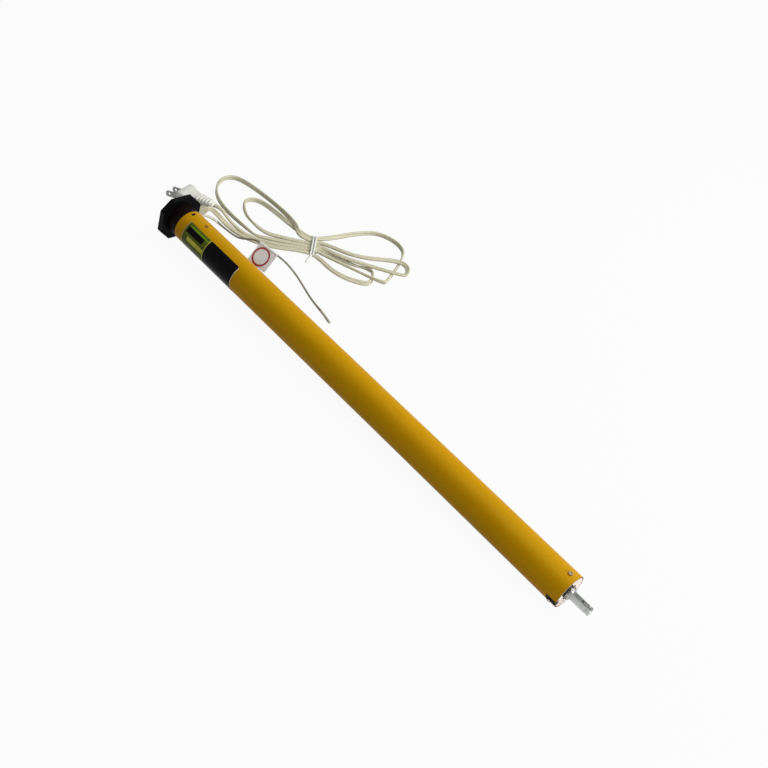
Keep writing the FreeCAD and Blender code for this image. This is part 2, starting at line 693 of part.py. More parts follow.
def planet(stage, index):
    start = stage_start(stage)
    wheel = prism(gear_outline(PLANET_TEETH, TOOTH_OUT, TOOTH_IN, TOOTH_THIN), start, start + STAGE_LENGTHS[stage])
    wheel = wheel.cut(rod(PIN_R + RUNNING, start - 1, start + STAGE_LENGTHS[stage] + 1))
    wheel.translate(Vector(0, centre_distance(), 0))
    return turned(wheel, 360 * index / PLANETS)


def sun_pinion():
    start = stage_start(0)
    return sun(start, start + STAGE_LENGTHS[0]).cut(rod(PINION_BORE_R, start - 1, start + 40))


def carrier(stage):
    """A disc with three pins and, on the first two stages, the next stage's sun gear."""
    start = stage_start(stage)
    disc_x = start + STAGE_LENGTHS[stage] + STAGE_GAP
    disc_end = disc_x + CARRIER_THICK[stage]
    body = rod(CARRIER_R, disc_x, disc_end)
    for i in range(PLANETS):
        pin = rod(PIN_R, start, disc_x + 0.5, centre_distance(), 0)
        body = body.fuse(turned(pin, 360 * i / PLANETS))
    if stage < len(STAGE_LENGTHS) - 1:
        next_end = stage_start(stage + 1) + STAGE_LENGTHS[stage + 1]
        return body.fuse(sun(disc_end - 0.5, next_end)).removeSplitter()
    return body.cut(rod(OUTPUT_JOURNAL_R, start, disc_end + 1)).removeSplitter()


def gearbox_end():
    return GEARBOX_AT + GEARBOX_LENGTH


def ring_gear():
    body = rod(CORE_R, GEARBOX_AT, gearbox_end())
    teeth = prism(gear_outline(RING_TEETH, TOOTH_IN, TOOTH_OUT, -TOOTH_THIN), GEARBOX_AT - 1, gearbox_end() + 1)
    return body.cut(teeth)


# Output end

def hub_bar(start, end, play):
    half = HUB_BAR_WIDTH / 2 + play
    bar = block(start, end, -HUB_REACH - play, HUB_REACH + play, -half, half)
    return turned(bar, HUB_BAR_ANGLE).common(rod(HUB_REACH + play, start, end)).fuse(rod(HUB_R + play, start, end))


def output_housing():
    """Holds the output bush; its bar and key show at the tube's open end."""
    ring_x = TUBE_END - END_RING_THICK
    body = rod(CORE_R, gearbox_end(), ring_x).fuse(hub_bar(ring_x, TUBE_END - 0.3, 0))
    key = keyway(-0.1).common(pipe(TUBE_R - 0.2, CORE_R - 3, TUBE_END - KEYWAY_LENGTH, TUBE_END - 0.3))
    body = body.fuse(key)
    body = body.cut(rod(HOUSING_BORE_R, gearbox_end() - 1, TUBE_END + 1))
    for angle in SCREW_ANGLES:
        body = body.cut(radial_rod(SCREW_SHANK_R, CORE_R - SCREW_GRIP, TUBE_R, TUBE_END - END_SCREW_AT, angle))
    return body.removeSplitter()


def end_cap():
    start = TUBE_END - END_RING_THICK
    cap = rod(CORE_R, start, TUBE_END).cut(hub_bar(start - 1, TUBE_END + 1, 0.1))
    return cap.cut(keyway(0.0).common(rod(TUBE_R, start - 1, TUBE_END + 1).cut(rod(CORE_R - 3.1, start - 2, TUBE_END + 2))))


def output_bush():
    return pipe(HOUSING_BORE_R, OUTPUT_JOURNAL_R + RUNNING, gearbox_end() + 1, TUBE_END)


def collar_end():
    return TUBE_END + COLLAR_GAP + COLLAR_LENGTH


def output_shaft():
    start = stage_start(2) + STAGE_LENGTHS[2] + STAGE_GAP
    shaft = rod(OUTPUT_R, start, SHAFT_TIP)
    shaft = shaft.makeChamfer(0.5, [e for e in shaft.Edges if e.BoundBox.XMin > SHAFT_TIP - 0.1])
    shaft = shaft.fuse(rod(OUTPUT_JOURNAL_R, start, collar_end())).removeSplitter()
    flat = block(collar_end(), SHAFT_TIP + 1, -10, 10, OUTPUT_FLAT, 10)
    hole = Part.makeCylinder(CROSS_HOLE_R, 20, Vector(TUBE_END + CROSS_HOLE_AT, 0, -10), Vector(0, 0, 1))
    groove_x = SHAFT_TIP - CLIP_GROOVE_FROM_TIP
    groove = pipe(OUTPUT_R + 1, CLIP_GROOVE_R, groove_x - CLIP_GROOVE_WIDTH, groove_x)
    return shaft.cut(flat).cut(hole).cut(groove)


def shaft_collar():
    return pipe(COLLAR_R, OUTPUT_JOURNAL_R, TUBE_END + COLLAR_GAP, collar_end())


# Paths of wires and cords

def biarc(p1, t1, p2, t2):
    """Two arcs that join at a common tangent, from p1 along t1 to p2 along t2."""
    v = p2 - p1
    t = t1 + t2
    k = 2 * (1 - t1.dot(t2))
    if k < 1e-9:
        d = v.dot(v) / (2 * v.dot(t))
    else:
        d = (-v.dot(t) + math.sqrt(v.dot(t) ** 2 + k * v.dot(v))) / k
    joint = (p1 + t1 * d + p2 - t2 * d) * 0.5
    middle = (p2 - t2 * d) - (p1 + t1 * d)
    middle.normalize()
    return [arc(p1, t1, joint), arc(joint, middle, p2)]


def arc(start, tangent, end):
    """The arc from start to end that leaves along the tangent, or a line where it is straight."""
    chord = end - start
    unit = Vector(chord)
    unit.normalize()
    side = tangent - unit * tangent.dot(unit)
    if side.Length < 1e-4:
        return Part.LineSegment(start, end).toShape()
    lean = math.acos(max(-1.0, min(1.0, tangent.dot(unit))))
    side.normalize()
    middle = start + chord * 0.5 + side * (chord.Length / 2 * math.tan(lean / 2))
    return Part.Arc(start, middle, end).toShape()


def sweep(edges, radius):
    wire = Part.Wire(edges)
    start = edges[0].valueAt(edges[0].FirstParameter)
    along = edges[0].tangentAt(edges[0].FirstParameter)
    ring = Part.Wire(Part.makeCircle(radius, start, along))
    solid = wire.makePipeShell([ring], True, False)
    return solid, wire


def coil_spring(start, end, radius, wire_r, turns):
    """A helix about X, in quarter turns."""
    steps = 4 * turns
    pitch = (end - start - 2 * wire_r) / turns
    nodes = []
    for i in range(steps + 1):
        a = math.pi / 2 * i
        point = Vector(start + wire_r + pitch * i / 4, radius * math.cos(a), radius * math.sin(a))
        along = Vector(pitch / (2 * math.pi), -radius * math.sin(a), radius * math.cos(a))
        along.normalize()
        nodes.append((point, along))
    edges = []
    for (p1, t1), (p2, t2) in zip(nodes, nodes[1:]):
        edges += biarc(p1, t1, p2, t2)
    return sweep(edges, wire_r)[0]


def brake_spring():
    """It rides with the brake plate, and its far end is clear of the pocket by the travel."""
    end = brake_plate_start() - 0.05
    start = BRAKE_MAGNET_AT + 4 + BRAKE_TRAVEL + 0.2
    return coil_spring(start, end, SPRING_OUT_R - SPRING_WIRE, SPRING_WIRE / 2, SPRING_TURNS)


def rounded_route(points):
    """Straight runs joined by tangent arcs, as large as their runs allow."""
    edges = []
    radii = []
    here = points[0]
    for before, corner, after in zip(points, points[1:], points[2:]):
        into = corner - before
        out = after - corner
        shorter = min(into.Length, out.Length)
        into.normalize()
        out.normalize()
        turn = math.acos(max(-1.0, min(1.0, into.dot(out))))
        trim = 0.45 * shorter
        radii.append(trim / math.tan(turn / 2))
        first = corner - into * trim
        last = corner + out * trim
        edges.append(Part.LineSegment(here, first).toShape())
        edges.append(arc(first, into, last))
        here = last
    edges.append(Part.LineSegment(here, points[-1]).toShape())
    return edges, radii


def cord_tube(name, points, radius):
    edges, radii = rounded_route(points)
    solid, wire = sweep(edges, radius)
    expected = math.pi * radius ** 2 * wire.Length
    print("%s: length %.0f, volume ratio %.4f, radii %s"
          % (name, wire.Length, solid.Volume / expected, " ".join("%.0f" % r for r in radii)))
    return solid


# The hank

def waist_point(along, across, z):
    a = math.radians(WAIST_HEADING)
    return on_table((TIE_X + along * math.cos(a) - across * math.sin(a),
                     TIE_Y + along * math.sin(a) + across * math.cos(a), z))


def waist_heading(degrees):
    a = math.radians(WAIST_HEADING + degrees)
    return Vector(math.cos(a), math.sin(a), 0)


def slot_across(slot):
    return SLOT_PITCH * (3.5 - slot)


def fan(side, slot, z, shoulder, heading):
    """Where a strand has turned from the waist towards its lobe: (point, outward heading)."""
    outward = 0.0 if side > 0 else 180.0
    across = slot_across(slot)
    chord = math.degrees(math.atan2(shoulder[1] - across, shoulder[0] - side * TIE_HALF)) % 360
    lean = (chord - heading + 180) % 360 - 180
    angle = chord + FAN_LEAN * lean
    turn = math.radians((angle - outward + 180) % 360 - 180)
    radius = RAISED_FAN_R if z > WAIST_Z else FAN_R
    reach = radius * abs(math.sin(turn))
    rise = radius * (1 - math.cos(turn)) * (1 if turn * side > 0 else -1)
    return (side * (TIE_HALF + reach), across + rise, z), angle


def lobe_nodes(name, slot_in, slot_out, z_out):
    """Points and headings of one lobe, from the slot it starts at to the slot it ends at."""
    heading, upper, tip, lower = LOBES[name]
    side = 1 if abs(heading) < 90 else -1
    a = math.radians(heading)

    def place(along, across, z):
        across *= side
        return (along * math.cos(a) - across * math.sin(a), along * math.sin(a) + across * math.cos(a), z)

    upper_first = slot_in < slot_out
    first, last = (upper, lower) if upper_first else (lower, upper)
    first, last = place(*first), place(*last)
    # across the tip, the strand runs from its first side to its last one
    over = -90.0 * side if upper_first else 90.0 * side
    fan_in, angle_in = fan(side, slot_in, WAIST_Z, first, heading)
    fan_out, angle_out = fan(side, slot_out, z_out, last, heading)
    outward = 0.0 if side > 0 else 180.0
    return [((side * TIE_HALF, slot_across(slot_in), WAIST_Z), outward),
            (fan_in, angle_in),
            (first, heading),
            (place(*tip), heading + over),
            (last, heading + 180),
            (fan_out, angle_out + 180),
            ((side * TIE_HALF, slot_across(slot_out), WAIST_Z), outward + 180)]


def hank_edges():
    nodes = [((-HANK_END, slot_across(6), WAIST_Z), 0.0), ((-HANK_END + 4, slot_across(6), WAIST_Z), 0.0)]
    for name, slot_in, slot_out, z_out in STRAND:
        nodes += lobe_nodes(name, slot_in, slot_out, z_out)
    nodes += [((-HANK_END + 4, slot_across(5), WAIST_Z), 180.0), ((-HANK_END, slot_across(5), WAIST_Z), 180.0)]
    edges = []
    for (p1, a1), (p2, a2) in zip(nodes, nodes[1:]):
        edges += biarc(waist_point(*p1), waist_heading(a1), waist_point(*p2), waist_heading(a2))
    return edges


def least_self_gap(edges, diameter):
    """Measured on points 2 mm apart; neighbours along the cord don't count."""
    step = 2.0
    points = []
    run = 0.0
    for edge in edges:
        count = max(1, int(edge.Length / step))
        for p in edge.discretize(count + 1)[:-1]:
            points.append((run, p))
            run += edge.Length / count
    skip = 4 * diameter
    least = 1e9
    for i, (s1, p1) in enumerate(points):
        for s2, p2 in points[i + 1:]:
            if s2 - s1 > skip:
                least = min(least, p1.distanceToPoint(p2))
    return least - diameter


def power_cord_hank():
    edges = hank_edges()
    solid, wire = sweep(edges, CORD_R)
    expected = math.pi * CORD_R ** 2 * wire.Length
    radii = sorted(e.Curve.Radius for e in edges if hasattr(e.Curve, "Radius"))
    print("hank: length %.0f, volume ratio %.4f, least gap %.2f, least radii %s"
          % (wire.Length, solid.Volume / expected, least_self_gap(edges, 2 * CORD_R),
             " ".join("%.1f" % r for r in radii[:6])))
    return solid


def hank_end(slot):
    return waist_point(-HANK_END, slot_across(slot), WAIST_Z)


def hank_approach(slot):
    return waist_point(-HANK_END - HANK_LEAD_IN, slot_across(slot), WAIST_Z)


def power_cord_lead():
    start = seat_point(GLAND_X, HEAD_HALF + GLAND_Y, 0)
    points = [start] + [on_table(p) for p in LEAD_ROUTE] + [hank_approach(6), hank_end(6)]
    return cord_tube("lead", points, CORD_R)


def power_cord_tail():
    points = [hank_end(5), hank_approach(5)] + [on_table(p) for p in TAIL_ROUTE] + [on_table(PLUG_EXIT)]
    return cord_tube("tail", points, CORD_R)


def antenna_wire():
    start = seat_point(GLAND_X, HEAD_HALF + 3.6, ANTENNA_Z)
    return cord_tube("antenna", [start] + [on_table(p) for p in ANTENNA_ROUTE], ANTENNA_R)


def antenna_tag():
    """A flag folded round the wire, hanging down to the table."""
    first, last = [on_table(p) for p in ANTENNA_ROUTE[7:9]]
    along = last - first
    along.normalize()
    middle = (first + last) * 0.5
    down = TAG_DOWN - along * TAG_DOWN.dot(along)
    down.normalize()
    normal = along.cross(down)
    corner = middle - along * (TAG_SIDE / 2) - normal * (TAG_THICK / 2)
    points = [corner, corner + along * TAG_SIDE, corner + along * TAG_SIDE + down * TAG_SIDE, corner + down * TAG_SIDE]
    leaf = Part.Face(Part.makePolygon(points + points[:1])).extrude(normal * TAG_THICK)
    sleeve_start = middle - along * (TAG_SIDE / 2)
    sleeve = Part.makeCylinder(ANTENNA_R + TAG_SLEEVE, TAG_SIDE, sleeve_start, along)
    return leaf.fuse(sleeve).cut(Part.makeCylinder(ANTENNA_R + 0.02, 2 * TAG_SIDE, middle - along * TAG_SIDE, along))


def cord_tie():
    """A flat strip round the waist, with two short ends."""
    half_wide = slot_across(1) + CORD_R + 0.3
    low = WAIST_Z - CORD_R - 0.3
    high = WAIST_Z + CORD_R + 0.3
    outer = rounded_slab(half_wide + TIE_STRIP, low - TIE_STRIP + 0.05, high + TIE_STRIP)
    inner = rounded_slab(half_wide, low, high)
    strip = outer.cut(inner)
    ends = []
    for spread in (-16.0, 24.0):
        end = Vector(13 * math.cos(math.radians(spread - 60)), 13 * math.sin(math.radians(spread - 60)), 1.2)
        root = Vector(0, -half_wide - TIE_STRIP / 2, high - 0.8)
        ends.append(Part.makeCylinder(TIE_STRIP / 2, end.Length, root, end))
    tie = strip
    for tail in ends:
        tie = tie.fuse(tail)
    tie.rotate(Vector(0, 0, 0), Vector(0, 0, 1), WAIST_HEADING)
    tie.translate(on_table((TIE_X, TIE_Y, 0)))
    return tie


def rounded_slab(half_wide, low, high):
    """A slab along X with round sides, as wide as the strip."""
    r = (high - low) / 2
    mid = (high + low) / 2
    slab = block(-TIE_HALF + 0.5, TIE_HALF - 0.5, -half_wide + r, half_wide - r, low, high)
    for side in (-1, 1):
        slab = slab.fuse(rod(r, -TIE_HALF + 0.5, TIE_HALF - 0.5, side * (half_wide - r), mid))
    return slab.removeSplitter()


# Plug

def plug_section(x, wide, thick):
    """A flat outline across the plug, with its four corners cut."""
    cut = PLUG_CORNER * thick
    corners = []
    for side, top, first in ((1, 1, True), (-1, 1, False), (-1, -1, True), (1, -1, False)):
        wide_end = Vector(x, side * wide / 2, top * (thick / 2 - cut))
        tall_end = Vector(x, side * (wide / 2 - cut), top * thick / 2)
        corners += [wide_end, tall_end] if first else [tall_end, wide_end]
    return Part.makePolygon(corners + corners[:1])


def plug_loft(x1, wide1, thick1, x2, wide2, thick2):
    return Part.makeLoft([plug_section(x1, wide1, thick1), plug_section(x2, wide2, thick2)], True, True)


def plug_body_local():
    """Along +X from the cord's exit: a ribbed taper to hold it by, a shoulder, then the wide front."""
    shoulder_end = PLUG_GRIP + PLUG_SHOULDER
    front_end = PLUG_GRIP + PLUG_BLOCK
    body = plug_loft(0, 7, 6, PLUG_GRIP, 15, 11.5)
    body = body.fuse(plug_loft(PLUG_GRIP, 15, 11.5, shoulder_end, PLUG_WIDE, PLUG_THICK))
    body = body.fuse(plug_loft(shoulder_end, PLUG_WIDE, PLUG_THICK, front_end, PLUG_WIDE, PLUG_THICK))
    for i in range(PLUG_RIBS):
        x = 4 + i * (PLUG_GRIP - 6) / PLUG_RIBS
        share = x / PLUG_GRIP
        wide = 7 + 8 * share + 2.0
        thick = 6 + 5.5 * share + 2.0
        body = body.fuse(plug_loft(x, wide, thick, x + 1.8, wide, thick))
    return body.removeSplitter()


def blades_local(play=0.0):
    blades = []
    root = PLUG_GRIP + PLUG_BLOCK
    for side in (-1, 1):
        y = side * BLADE_SPACING / 2
        blade = block(root - 6 - play, root + BLADE_LENGTH, y - BLADE_THICK / 2 - play, y + BLADE_THICK / 2 + play,
                      -BLADE_WIDTH / 2 - play, BLADE_WIDTH / 2 + play)
        if not play:
            hole = Part.makeCylinder(1.6, 4, Vector(root + BLADE_LENGTH - 3.9, y - 2, 0), Vector(0, 1, 0))
            blade = blade.cut(hole)
            tips = [e for e in blade.Edges if e.BoundBox.XMin > root + BLADE_LENGTH - 0.01 and e.BoundBox.YLength > 1]
            blade = blade.makeChamfer(1.2, tips)
        blades.append(blade)
    return blades


def lay_plug(shape):
    shape.rotate(Vector(0, 0, 0), Vector(1, 0, 0), PLUG_ROLL)
    shape.rotate(Vector(0, 0, 0), Vector(0, 1, 0), PLUG_DIP)
    shape.rotate(Vector(0, 0, 0), Vector(0, 0, 1), PLUG_HEADING)
    shape.translate(on_table(PLUG_EXIT))
    return shape


def plug_body():
    body = plug_body_local()
    for blade in blades_local(0.02):
        body = body.cut(blade)
    return lay_plug(body)


def plug_blades():
    return lay_plug(Part.makeCompound(blades_local()))


STAGE_NAMES = ("first", "second", "third")
SEATED = {
    "motor_tube": motor_tube,
    "head_body": head_body,
    "head_cover": head_cover,
    "head_cover_screws": cover_screws,
    "head_seal": head_seal,
    "crown_ring": crown_ring,
    "cord_gland": cord_gland,
    "set_button": set_button,
    "button_switch": button_switch,
    "status_light": status_light,
    "head_board": head_board,
    "rating_label": rating_label,
    "board_tray": board_tray,
    "control_board": control_board,
    "power_transformer": power_transformer,
    "direction_relays": direction_relays,
    "run_capacitor": run_capacitor,
    "sensor_board": sensor_board,
    "encoder_magnet": encoder_magnet,
    "brake_magnet": brake_magnet,
    "brake_spring": brake_spring,
    "brake_plate": brake_plate,
    "brake_disc": brake_disc,
    "rear_end_shield": rear_end_shield,
    "rear_bearing": rear_bearing,
    "stator_core": stator_core,
    "stator_windings": stator_windings,
    "rotor_core": rotor_core,
    "rotor_shaft": rotor_shaft,
    "front_end_shield": front_end_shield,
    "front_bearing": front_bearing,
    "ring_gear": ring_gear,
    "sun_pinion": sun_pinion,
    "output_housing": output_housing,
    "end_cap": end_cap,
    "output_bush": output_bush,
    "output_shaft": output_shaft,
    "shaft_collar": shaft_collar,
}
LYING = {
    "power_cord_lead": power_cord_lead,
    "power_cord_hank": power_cord_hank,
    "power_cord_tail": power_cord_tail,
    "cord_tie": cord_tie,
    "plug_body": plug_body,
    "plug_blades": plug_blades,
    "antenna_wire": antenna_wire,
    "antenna_tag": antenna_tag,
}


def build():
    pieces = {name: seat(make()) for name, make in SEATED.items()}
    pieces["head_fixing_screws"] = seat(Part.makeCompound(
        [countersunk(TUBE_START + HEAD_SCREW_AT, angle) for angle in SCREW_ANGLES]))
    pieces["end_screws"] = seat(Part.makeCompound(
        [pan_head(TUBE_END - END_SCREW_AT, angle) for angle in SCREW_ANGLES]))
    for stage, stage_name in enumerate(STAGE_NAMES):
        pieces[stage_name + "_carrier"] = seat(carrier(stage))
        for index in range(PLANETS):
            pieces["%s_planet_%d" % (stage_name, index + 1)] = seat(planet(stage, index))
    pieces.update({name: make() for name, make in LYING.items()})
    return pieces


def export(pieces):
    os.makedirs("parts", exist_ok=True)
    for name, shape in pieces.items():
        if not shape.isValid():
            print("not valid:", name)
        shape.exportStep("parts/%s.step" % name)
        box = shape.BoundBox
        print("%-20s solids %d volume %9.0f  x %.1f..%.1f y %.1f..%.1f z %.2f..%.2f"
              % (name, len(shape.Solids), shape.Volume, box.XMin, box.XMax, box.YMin, box.YMax, box.ZMin, box.ZMax))


export(build())
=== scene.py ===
"""A tubular curtain motor with its power cord, plug and antenna wire."""

import math

import bmesh
import bpy
from mathutils import Matrix, Vector


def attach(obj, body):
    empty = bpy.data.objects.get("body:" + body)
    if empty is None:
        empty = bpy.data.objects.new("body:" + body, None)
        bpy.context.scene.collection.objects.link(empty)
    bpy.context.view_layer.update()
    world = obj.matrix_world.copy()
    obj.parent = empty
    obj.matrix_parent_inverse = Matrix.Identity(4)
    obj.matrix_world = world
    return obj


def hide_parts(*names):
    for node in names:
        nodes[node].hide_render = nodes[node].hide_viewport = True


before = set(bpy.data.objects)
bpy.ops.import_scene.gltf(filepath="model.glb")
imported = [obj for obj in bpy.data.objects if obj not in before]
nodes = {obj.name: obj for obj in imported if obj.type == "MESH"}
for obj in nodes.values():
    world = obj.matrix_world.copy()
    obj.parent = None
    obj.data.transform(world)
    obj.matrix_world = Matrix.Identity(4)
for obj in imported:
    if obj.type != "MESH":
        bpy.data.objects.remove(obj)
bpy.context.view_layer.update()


# Camera
# The photograph was taken by hand from above the shaft end, about a metre away, with the camera
# turned so that the motor runs down to the right.
camera_data = bpy.data.cameras.new("camera")
camera_data.sensor_width = 36.0
camera_data.lens = 52.364
camera_data.clip_start = 0.01
camera_data.clip_end = 20.0


def put(name, data):
    """Put a new thing into the scene."""
    thing = bpy.data.objects.new(name, data)
    bpy.context.scene.collection.objects.link(thing)
    return thing


camera = put("camera", camera_data)
camera.location = (0.45498, -0.6594, 0.72307)
camera.rotation_euler = [math.radians(a) for a in (47.7256, -15.0057, 46.4626)]
bpy.context.scene.camera = camera


# Light and ground
# The motor lies on a white sheet. A broad soft lamp, like a window, lights its far side and its top;
# weaker ones from above, from the front and from the shaft end fill the rest.
ROOM_LIGHT = 0.21
SHEET_REACH = 4
SHEET_DROP = -0.0002
SHEET_TONE = 0.55
SHEET_WHITE = 0.94
bpy.context.scene.view_settings.view_transform = "Standard"


def seen_by_eye(tree):
    """1 for rays from the eye, and for what metal and glass show."""
    path = tree.nodes.new("ShaderNodeLightPath")
    first = tree.nodes.new("ShaderNodeMath")
    first.operation = "MAXIMUM"
    second = tree.nodes.new("ShaderNodeMath")
    second.operation = "MAXIMUM"
    tree.links.new(path.outputs["Is Camera Ray"], first.inputs[0])
    tree.links.new(path.outputs["Is Glossy Ray"], first.inputs[1])
    tree.links.new(first.outputs[0], second.inputs[0])
    tree.links.new(path.outputs["Is Transmission Ray"], second.inputs[1])
    return second.outputs[0]


world = bpy.data.worlds.new("studio")
world.use_nodes = True
bpy.context.scene.world = world
air = world.node_tree
air.nodes.clear()
room_light = air.nodes.new("ShaderNodeBackground")
room_light.inputs["Color"].default_value = (0.96, 0.98, 1.0, 1.0)
room_light.inputs["Strength"].default_value = ROOM_LIGHT
backdrop = air.nodes.new("ShaderNodeBackground")
backdrop.inputs["Strength"].default_value = 1.0
pick = air.nodes.new("ShaderNodeMixShader")
output = air.nodes.new("ShaderNodeOutputWorld")
air.links.new(seen_by_eye(air), pick.inputs[0])
air.links.new(room_light.outputs[0], pick.inputs[1])
air.links.new(backdrop.outputs[0], pick.inputs[2])
air.links.new(pick.outputs[0], output.inputs["Surface"])

floor_mesh = bpy.data.meshes.new("floor")
sheet_corners = [(x * SHEET_REACH, y * SHEET_REACH, 0) for x, y in ((-1, -1), (1, -1), (1, 1), (-1, 1))]
floor_mesh.from_pydata(sheet_corners, [], [(0, 1, 2, 3)])
floor = put("floor", floor_mesh)
floor.location.z = SHEET_DROP
sheet = bpy.data.materials.new("white sheet")
sheet.use_nodes = True
paper = sheet.node_tree
paper.nodes.clear()
matt = paper.nodes.new("ShaderNodeBsdfDiffuse")
matt.inputs["Color"].default_value = (SHEET_TONE, SHEET_TONE, SHEET_TONE, 1.0)
glow = paper.nodes.new("ShaderNodeEmission")
glow.inputs["Strength"].default_value = 1.0
share = paper.nodes.new("ShaderNodeMath")
share.operation = "MULTIPLY"
share.inputs[1].default_value = SHEET_WHITE
blend = paper.nodes.new("ShaderNodeMixShader")
surface = paper.nodes.new("ShaderNodeOutputMaterial")
paper.links.new(seen_by_eye(paper), share.inputs[0])
paper.links.new(share.outputs[0], blend.inputs[0])
paper.links.new(matt.outputs[0], blend.inputs[1])
paper.links.new(glow.outputs[0], blend.inputs[2])
paper.links.new(blend.outputs[0], surface.inputs["Surface"])
floor_mesh.materials.append(sheet)


def soft_lamp(name, place, size, watts):
    """A round soft lamp, in metres and watts, that looks at the middle of the motor."""
    data = bpy.data.lights.new(name, "AREA")
    data.shape = "DISK"
    data.size = size
    data.energy = watts
    lamp = put(name, data)
    lamp.location = place
    lamp.rotation_euler = (Vector() - Vector(place)).to_track_quat("-Z", "Y").to_euler()


soft_lamp("window", (0.6, 1.1, 1.2), 0.9, 21.5)
soft_lamp("ceiling", (-0.2, 0.1, 1.6), 0.8, 5.0)
soft_lamp("front", (0.7, -1.3, 0.7), 0.7, 0.8)
soft_lamp("side", (1.5, 0.0, 0.5), 0.7, 10.0)


# Motor tube
# Welded steel tube, 35 mm across, with a yellow powder coat. It is cut square, and the holes, the
# window for the head's key and the notch at the open end are punched before it is coated. Faces that
# look along the tube, as the cut edges do, are painted dark brown as shade.
CUT_EDGE_PAINTED_SHADE = (0.10, 0.026, 0.014)
SHARP_FROM = 32.0
EASED_FROM = 40.0


class Finish:
    """A material and the nodes that its details hang on."""

    def __init__(self, name, color, roughness, metallic=0.0, coat=0.0, specular=0.5):
        self.material = bpy.data.materials.new(name)
        self.material.use_nodes = True
        self.tree = self.material.node_tree
        self.shader = self.tree.nodes["Principled BSDF"]
        self.shader.inputs["Base Color"].default_value = (*color, 1.0)
        self.shader.inputs["Roughness"].default_value = roughness
        self.shader.inputs["Metallic"].default_value = metallic
        self.shader.inputs["Coat Weight"].default_value = coat
        self.shader.inputs["Specular IOR Level"].default_value = specular
        self.place = self.tree.nodes.new("ShaderNodeTexCoord").outputs["Object"]
        self.color = None

    def node(self, kind, **values):
        made = self.tree.nodes.new("ShaderNode" + kind)
        for key, value in values.items():
            setattr(made, key, value)
        return made

    def link(self, a, b):
        self.tree.links.new(a, b)

    def stretched(self, scale):
        """Places stretched along an axis, for drawn or turned surfaces."""
        mapping = self.node("Mapping")
        mapping.inputs["Scale"].default_value = scale
        self.link(self.place, mapping.inputs["Vector"])
        return mapping.outputs[0]

    def noise(self, scale, detail, place=None):
        made = self.node("TexNoise")
        made.inputs["Scale"].default_value = scale
        made.inputs["Detail"].default_value = detail
        self.link(place or self.place, made.inputs["Vector"])
        return made.outputs["Fac"]

    def ramp(self, value, low, high, first=0.0, last=1.0):
        made = self.node("MapRange")
        made.inputs["From Min"].default_value = low
        made.inputs["From Max"].default_value = high
        made.inputs["To Min"].default_value = first
        made.inputs["To Max"].default_value = last
        self.link(value, made.inputs["Value"])
        return made.outputs[0]

    def tint(self, amount, color):
        """Mix another colour in, by a value from 0 to 1."""
        mix = self.node("Mix", data_type="RGBA")
        if self.color is None:
            mix.inputs["A"].default_value = self.shader.inputs["Base Color"].default_value
        else:
            self.link(self.color, mix.inputs["A"])
        mix.inputs["B"].default_value = (*color, 1.0)
        self.link(amount, mix.inputs["Factor"])
        self.color = mix.outputs["Result"]
        self.link(self.color, self.shader.inputs["Base Color"])

    def mottle(self, scale, detail, low, high, most, color):
        """Uneven patches of another colour, where a noise rises from low to high."""
        self.tint(self.ramp(self.noise(scale, detail), low, high, 0.0, most), color)

    def wear(self, scale, detail, glossy, dull, place=None):
        """Gloss that changes from place to place."""
        value = self.ramp(self.noise(scale, detail, place), 0.3, 0.7, glossy, dull)
        self.link(value, self.shader.inputs["Roughness"])

    def grain(self, scale, detail, depth, strength, place=None):
        """The fine unevenness of a moulded, drawn or turned surface."""
        self.relief(self.noise(scale, detail, place), depth, strength)

    def relief(self, height, depth, strength):
        bump = self.node("Bump")
        bump.inputs["Distance"].default_value = depth
        bump.inputs["Strength"].default_value = strength
        self.link(height, bump.inputs["Height"])
        self.link(bump.outputs[0], self.shader.inputs["Normal"])

    def sink(self, weight, radius):
        """Light that sinks in and comes out again, as in pale plastic."""
        self.shader.inputs["Subsurface Weight"].default_value = weight
        self.shader.inputs["Subsurface Radius"].default_value = radius


def smooth(mesh, degrees=SHARP_FROM):
    """Round faces shade round, and true edges stay sharp."""
    mesh.shade_smooth()
    mesh.set_sharp_from_angle(angle=math.radians(degrees))


def dress(names, finish, ease=0.0):
    """Give CAD nodes their finish, and their edges the small round of the real ones."""
    for name in names:
        piece = nodes[name]
        piece.data.materials.clear()
        piece.data.materials.append(finish.material)
        smooth(piece.data)
        if ease:
            bevel = piece.modifiers.new("eased edges", "BEVEL")
            bevel.width = ease
            bevel.segments = 2
            bevel.limit_method = "ANGLE"
            bevel.angle_limit = math.radians(EASED_FROM)


tube_paint = Finish("yellow powder coat", (0.558, 0.284, 0.0012), 0.42, specular=0.05)
tube_paint.mottle(scale=9.0, detail=2.0, low=0.42, high=0.75, most=0.4, color=(0.495, 0.243, 0.001))
tube_paint.mottle(scale=160.0, detail=4.0, low=0.55, high=0.8, most=0.2, color=(0.63, 0.336, 0.004))
tube_paint.wear(scale=60.0, detail=3.0, glossy=0.36, dull=0.5)
tube_paint.grain(scale=900.0, detail=2.0, depth=0.00012, strength=0.3)
# Painted shade: faces whose normal runs along the tube are darkened to brown.
facing = tube_paint.node("SeparateXYZ")
tube_paint.link(tube_paint.node("NewGeometry").outputs["True Normal"], facing.inputs[0])
along_tube = tube_paint.node("Math", operation="ABSOLUTE")
tube_paint.link(facing.outputs["X"], along_tube.inputs[0])
tube_paint.tint(tube_paint.ramp(along_tube.outputs[0], 0.7, 0.9), CUT_EDGE_PAINTED_SHADE)
dress(["motor_tube"], tube_paint)


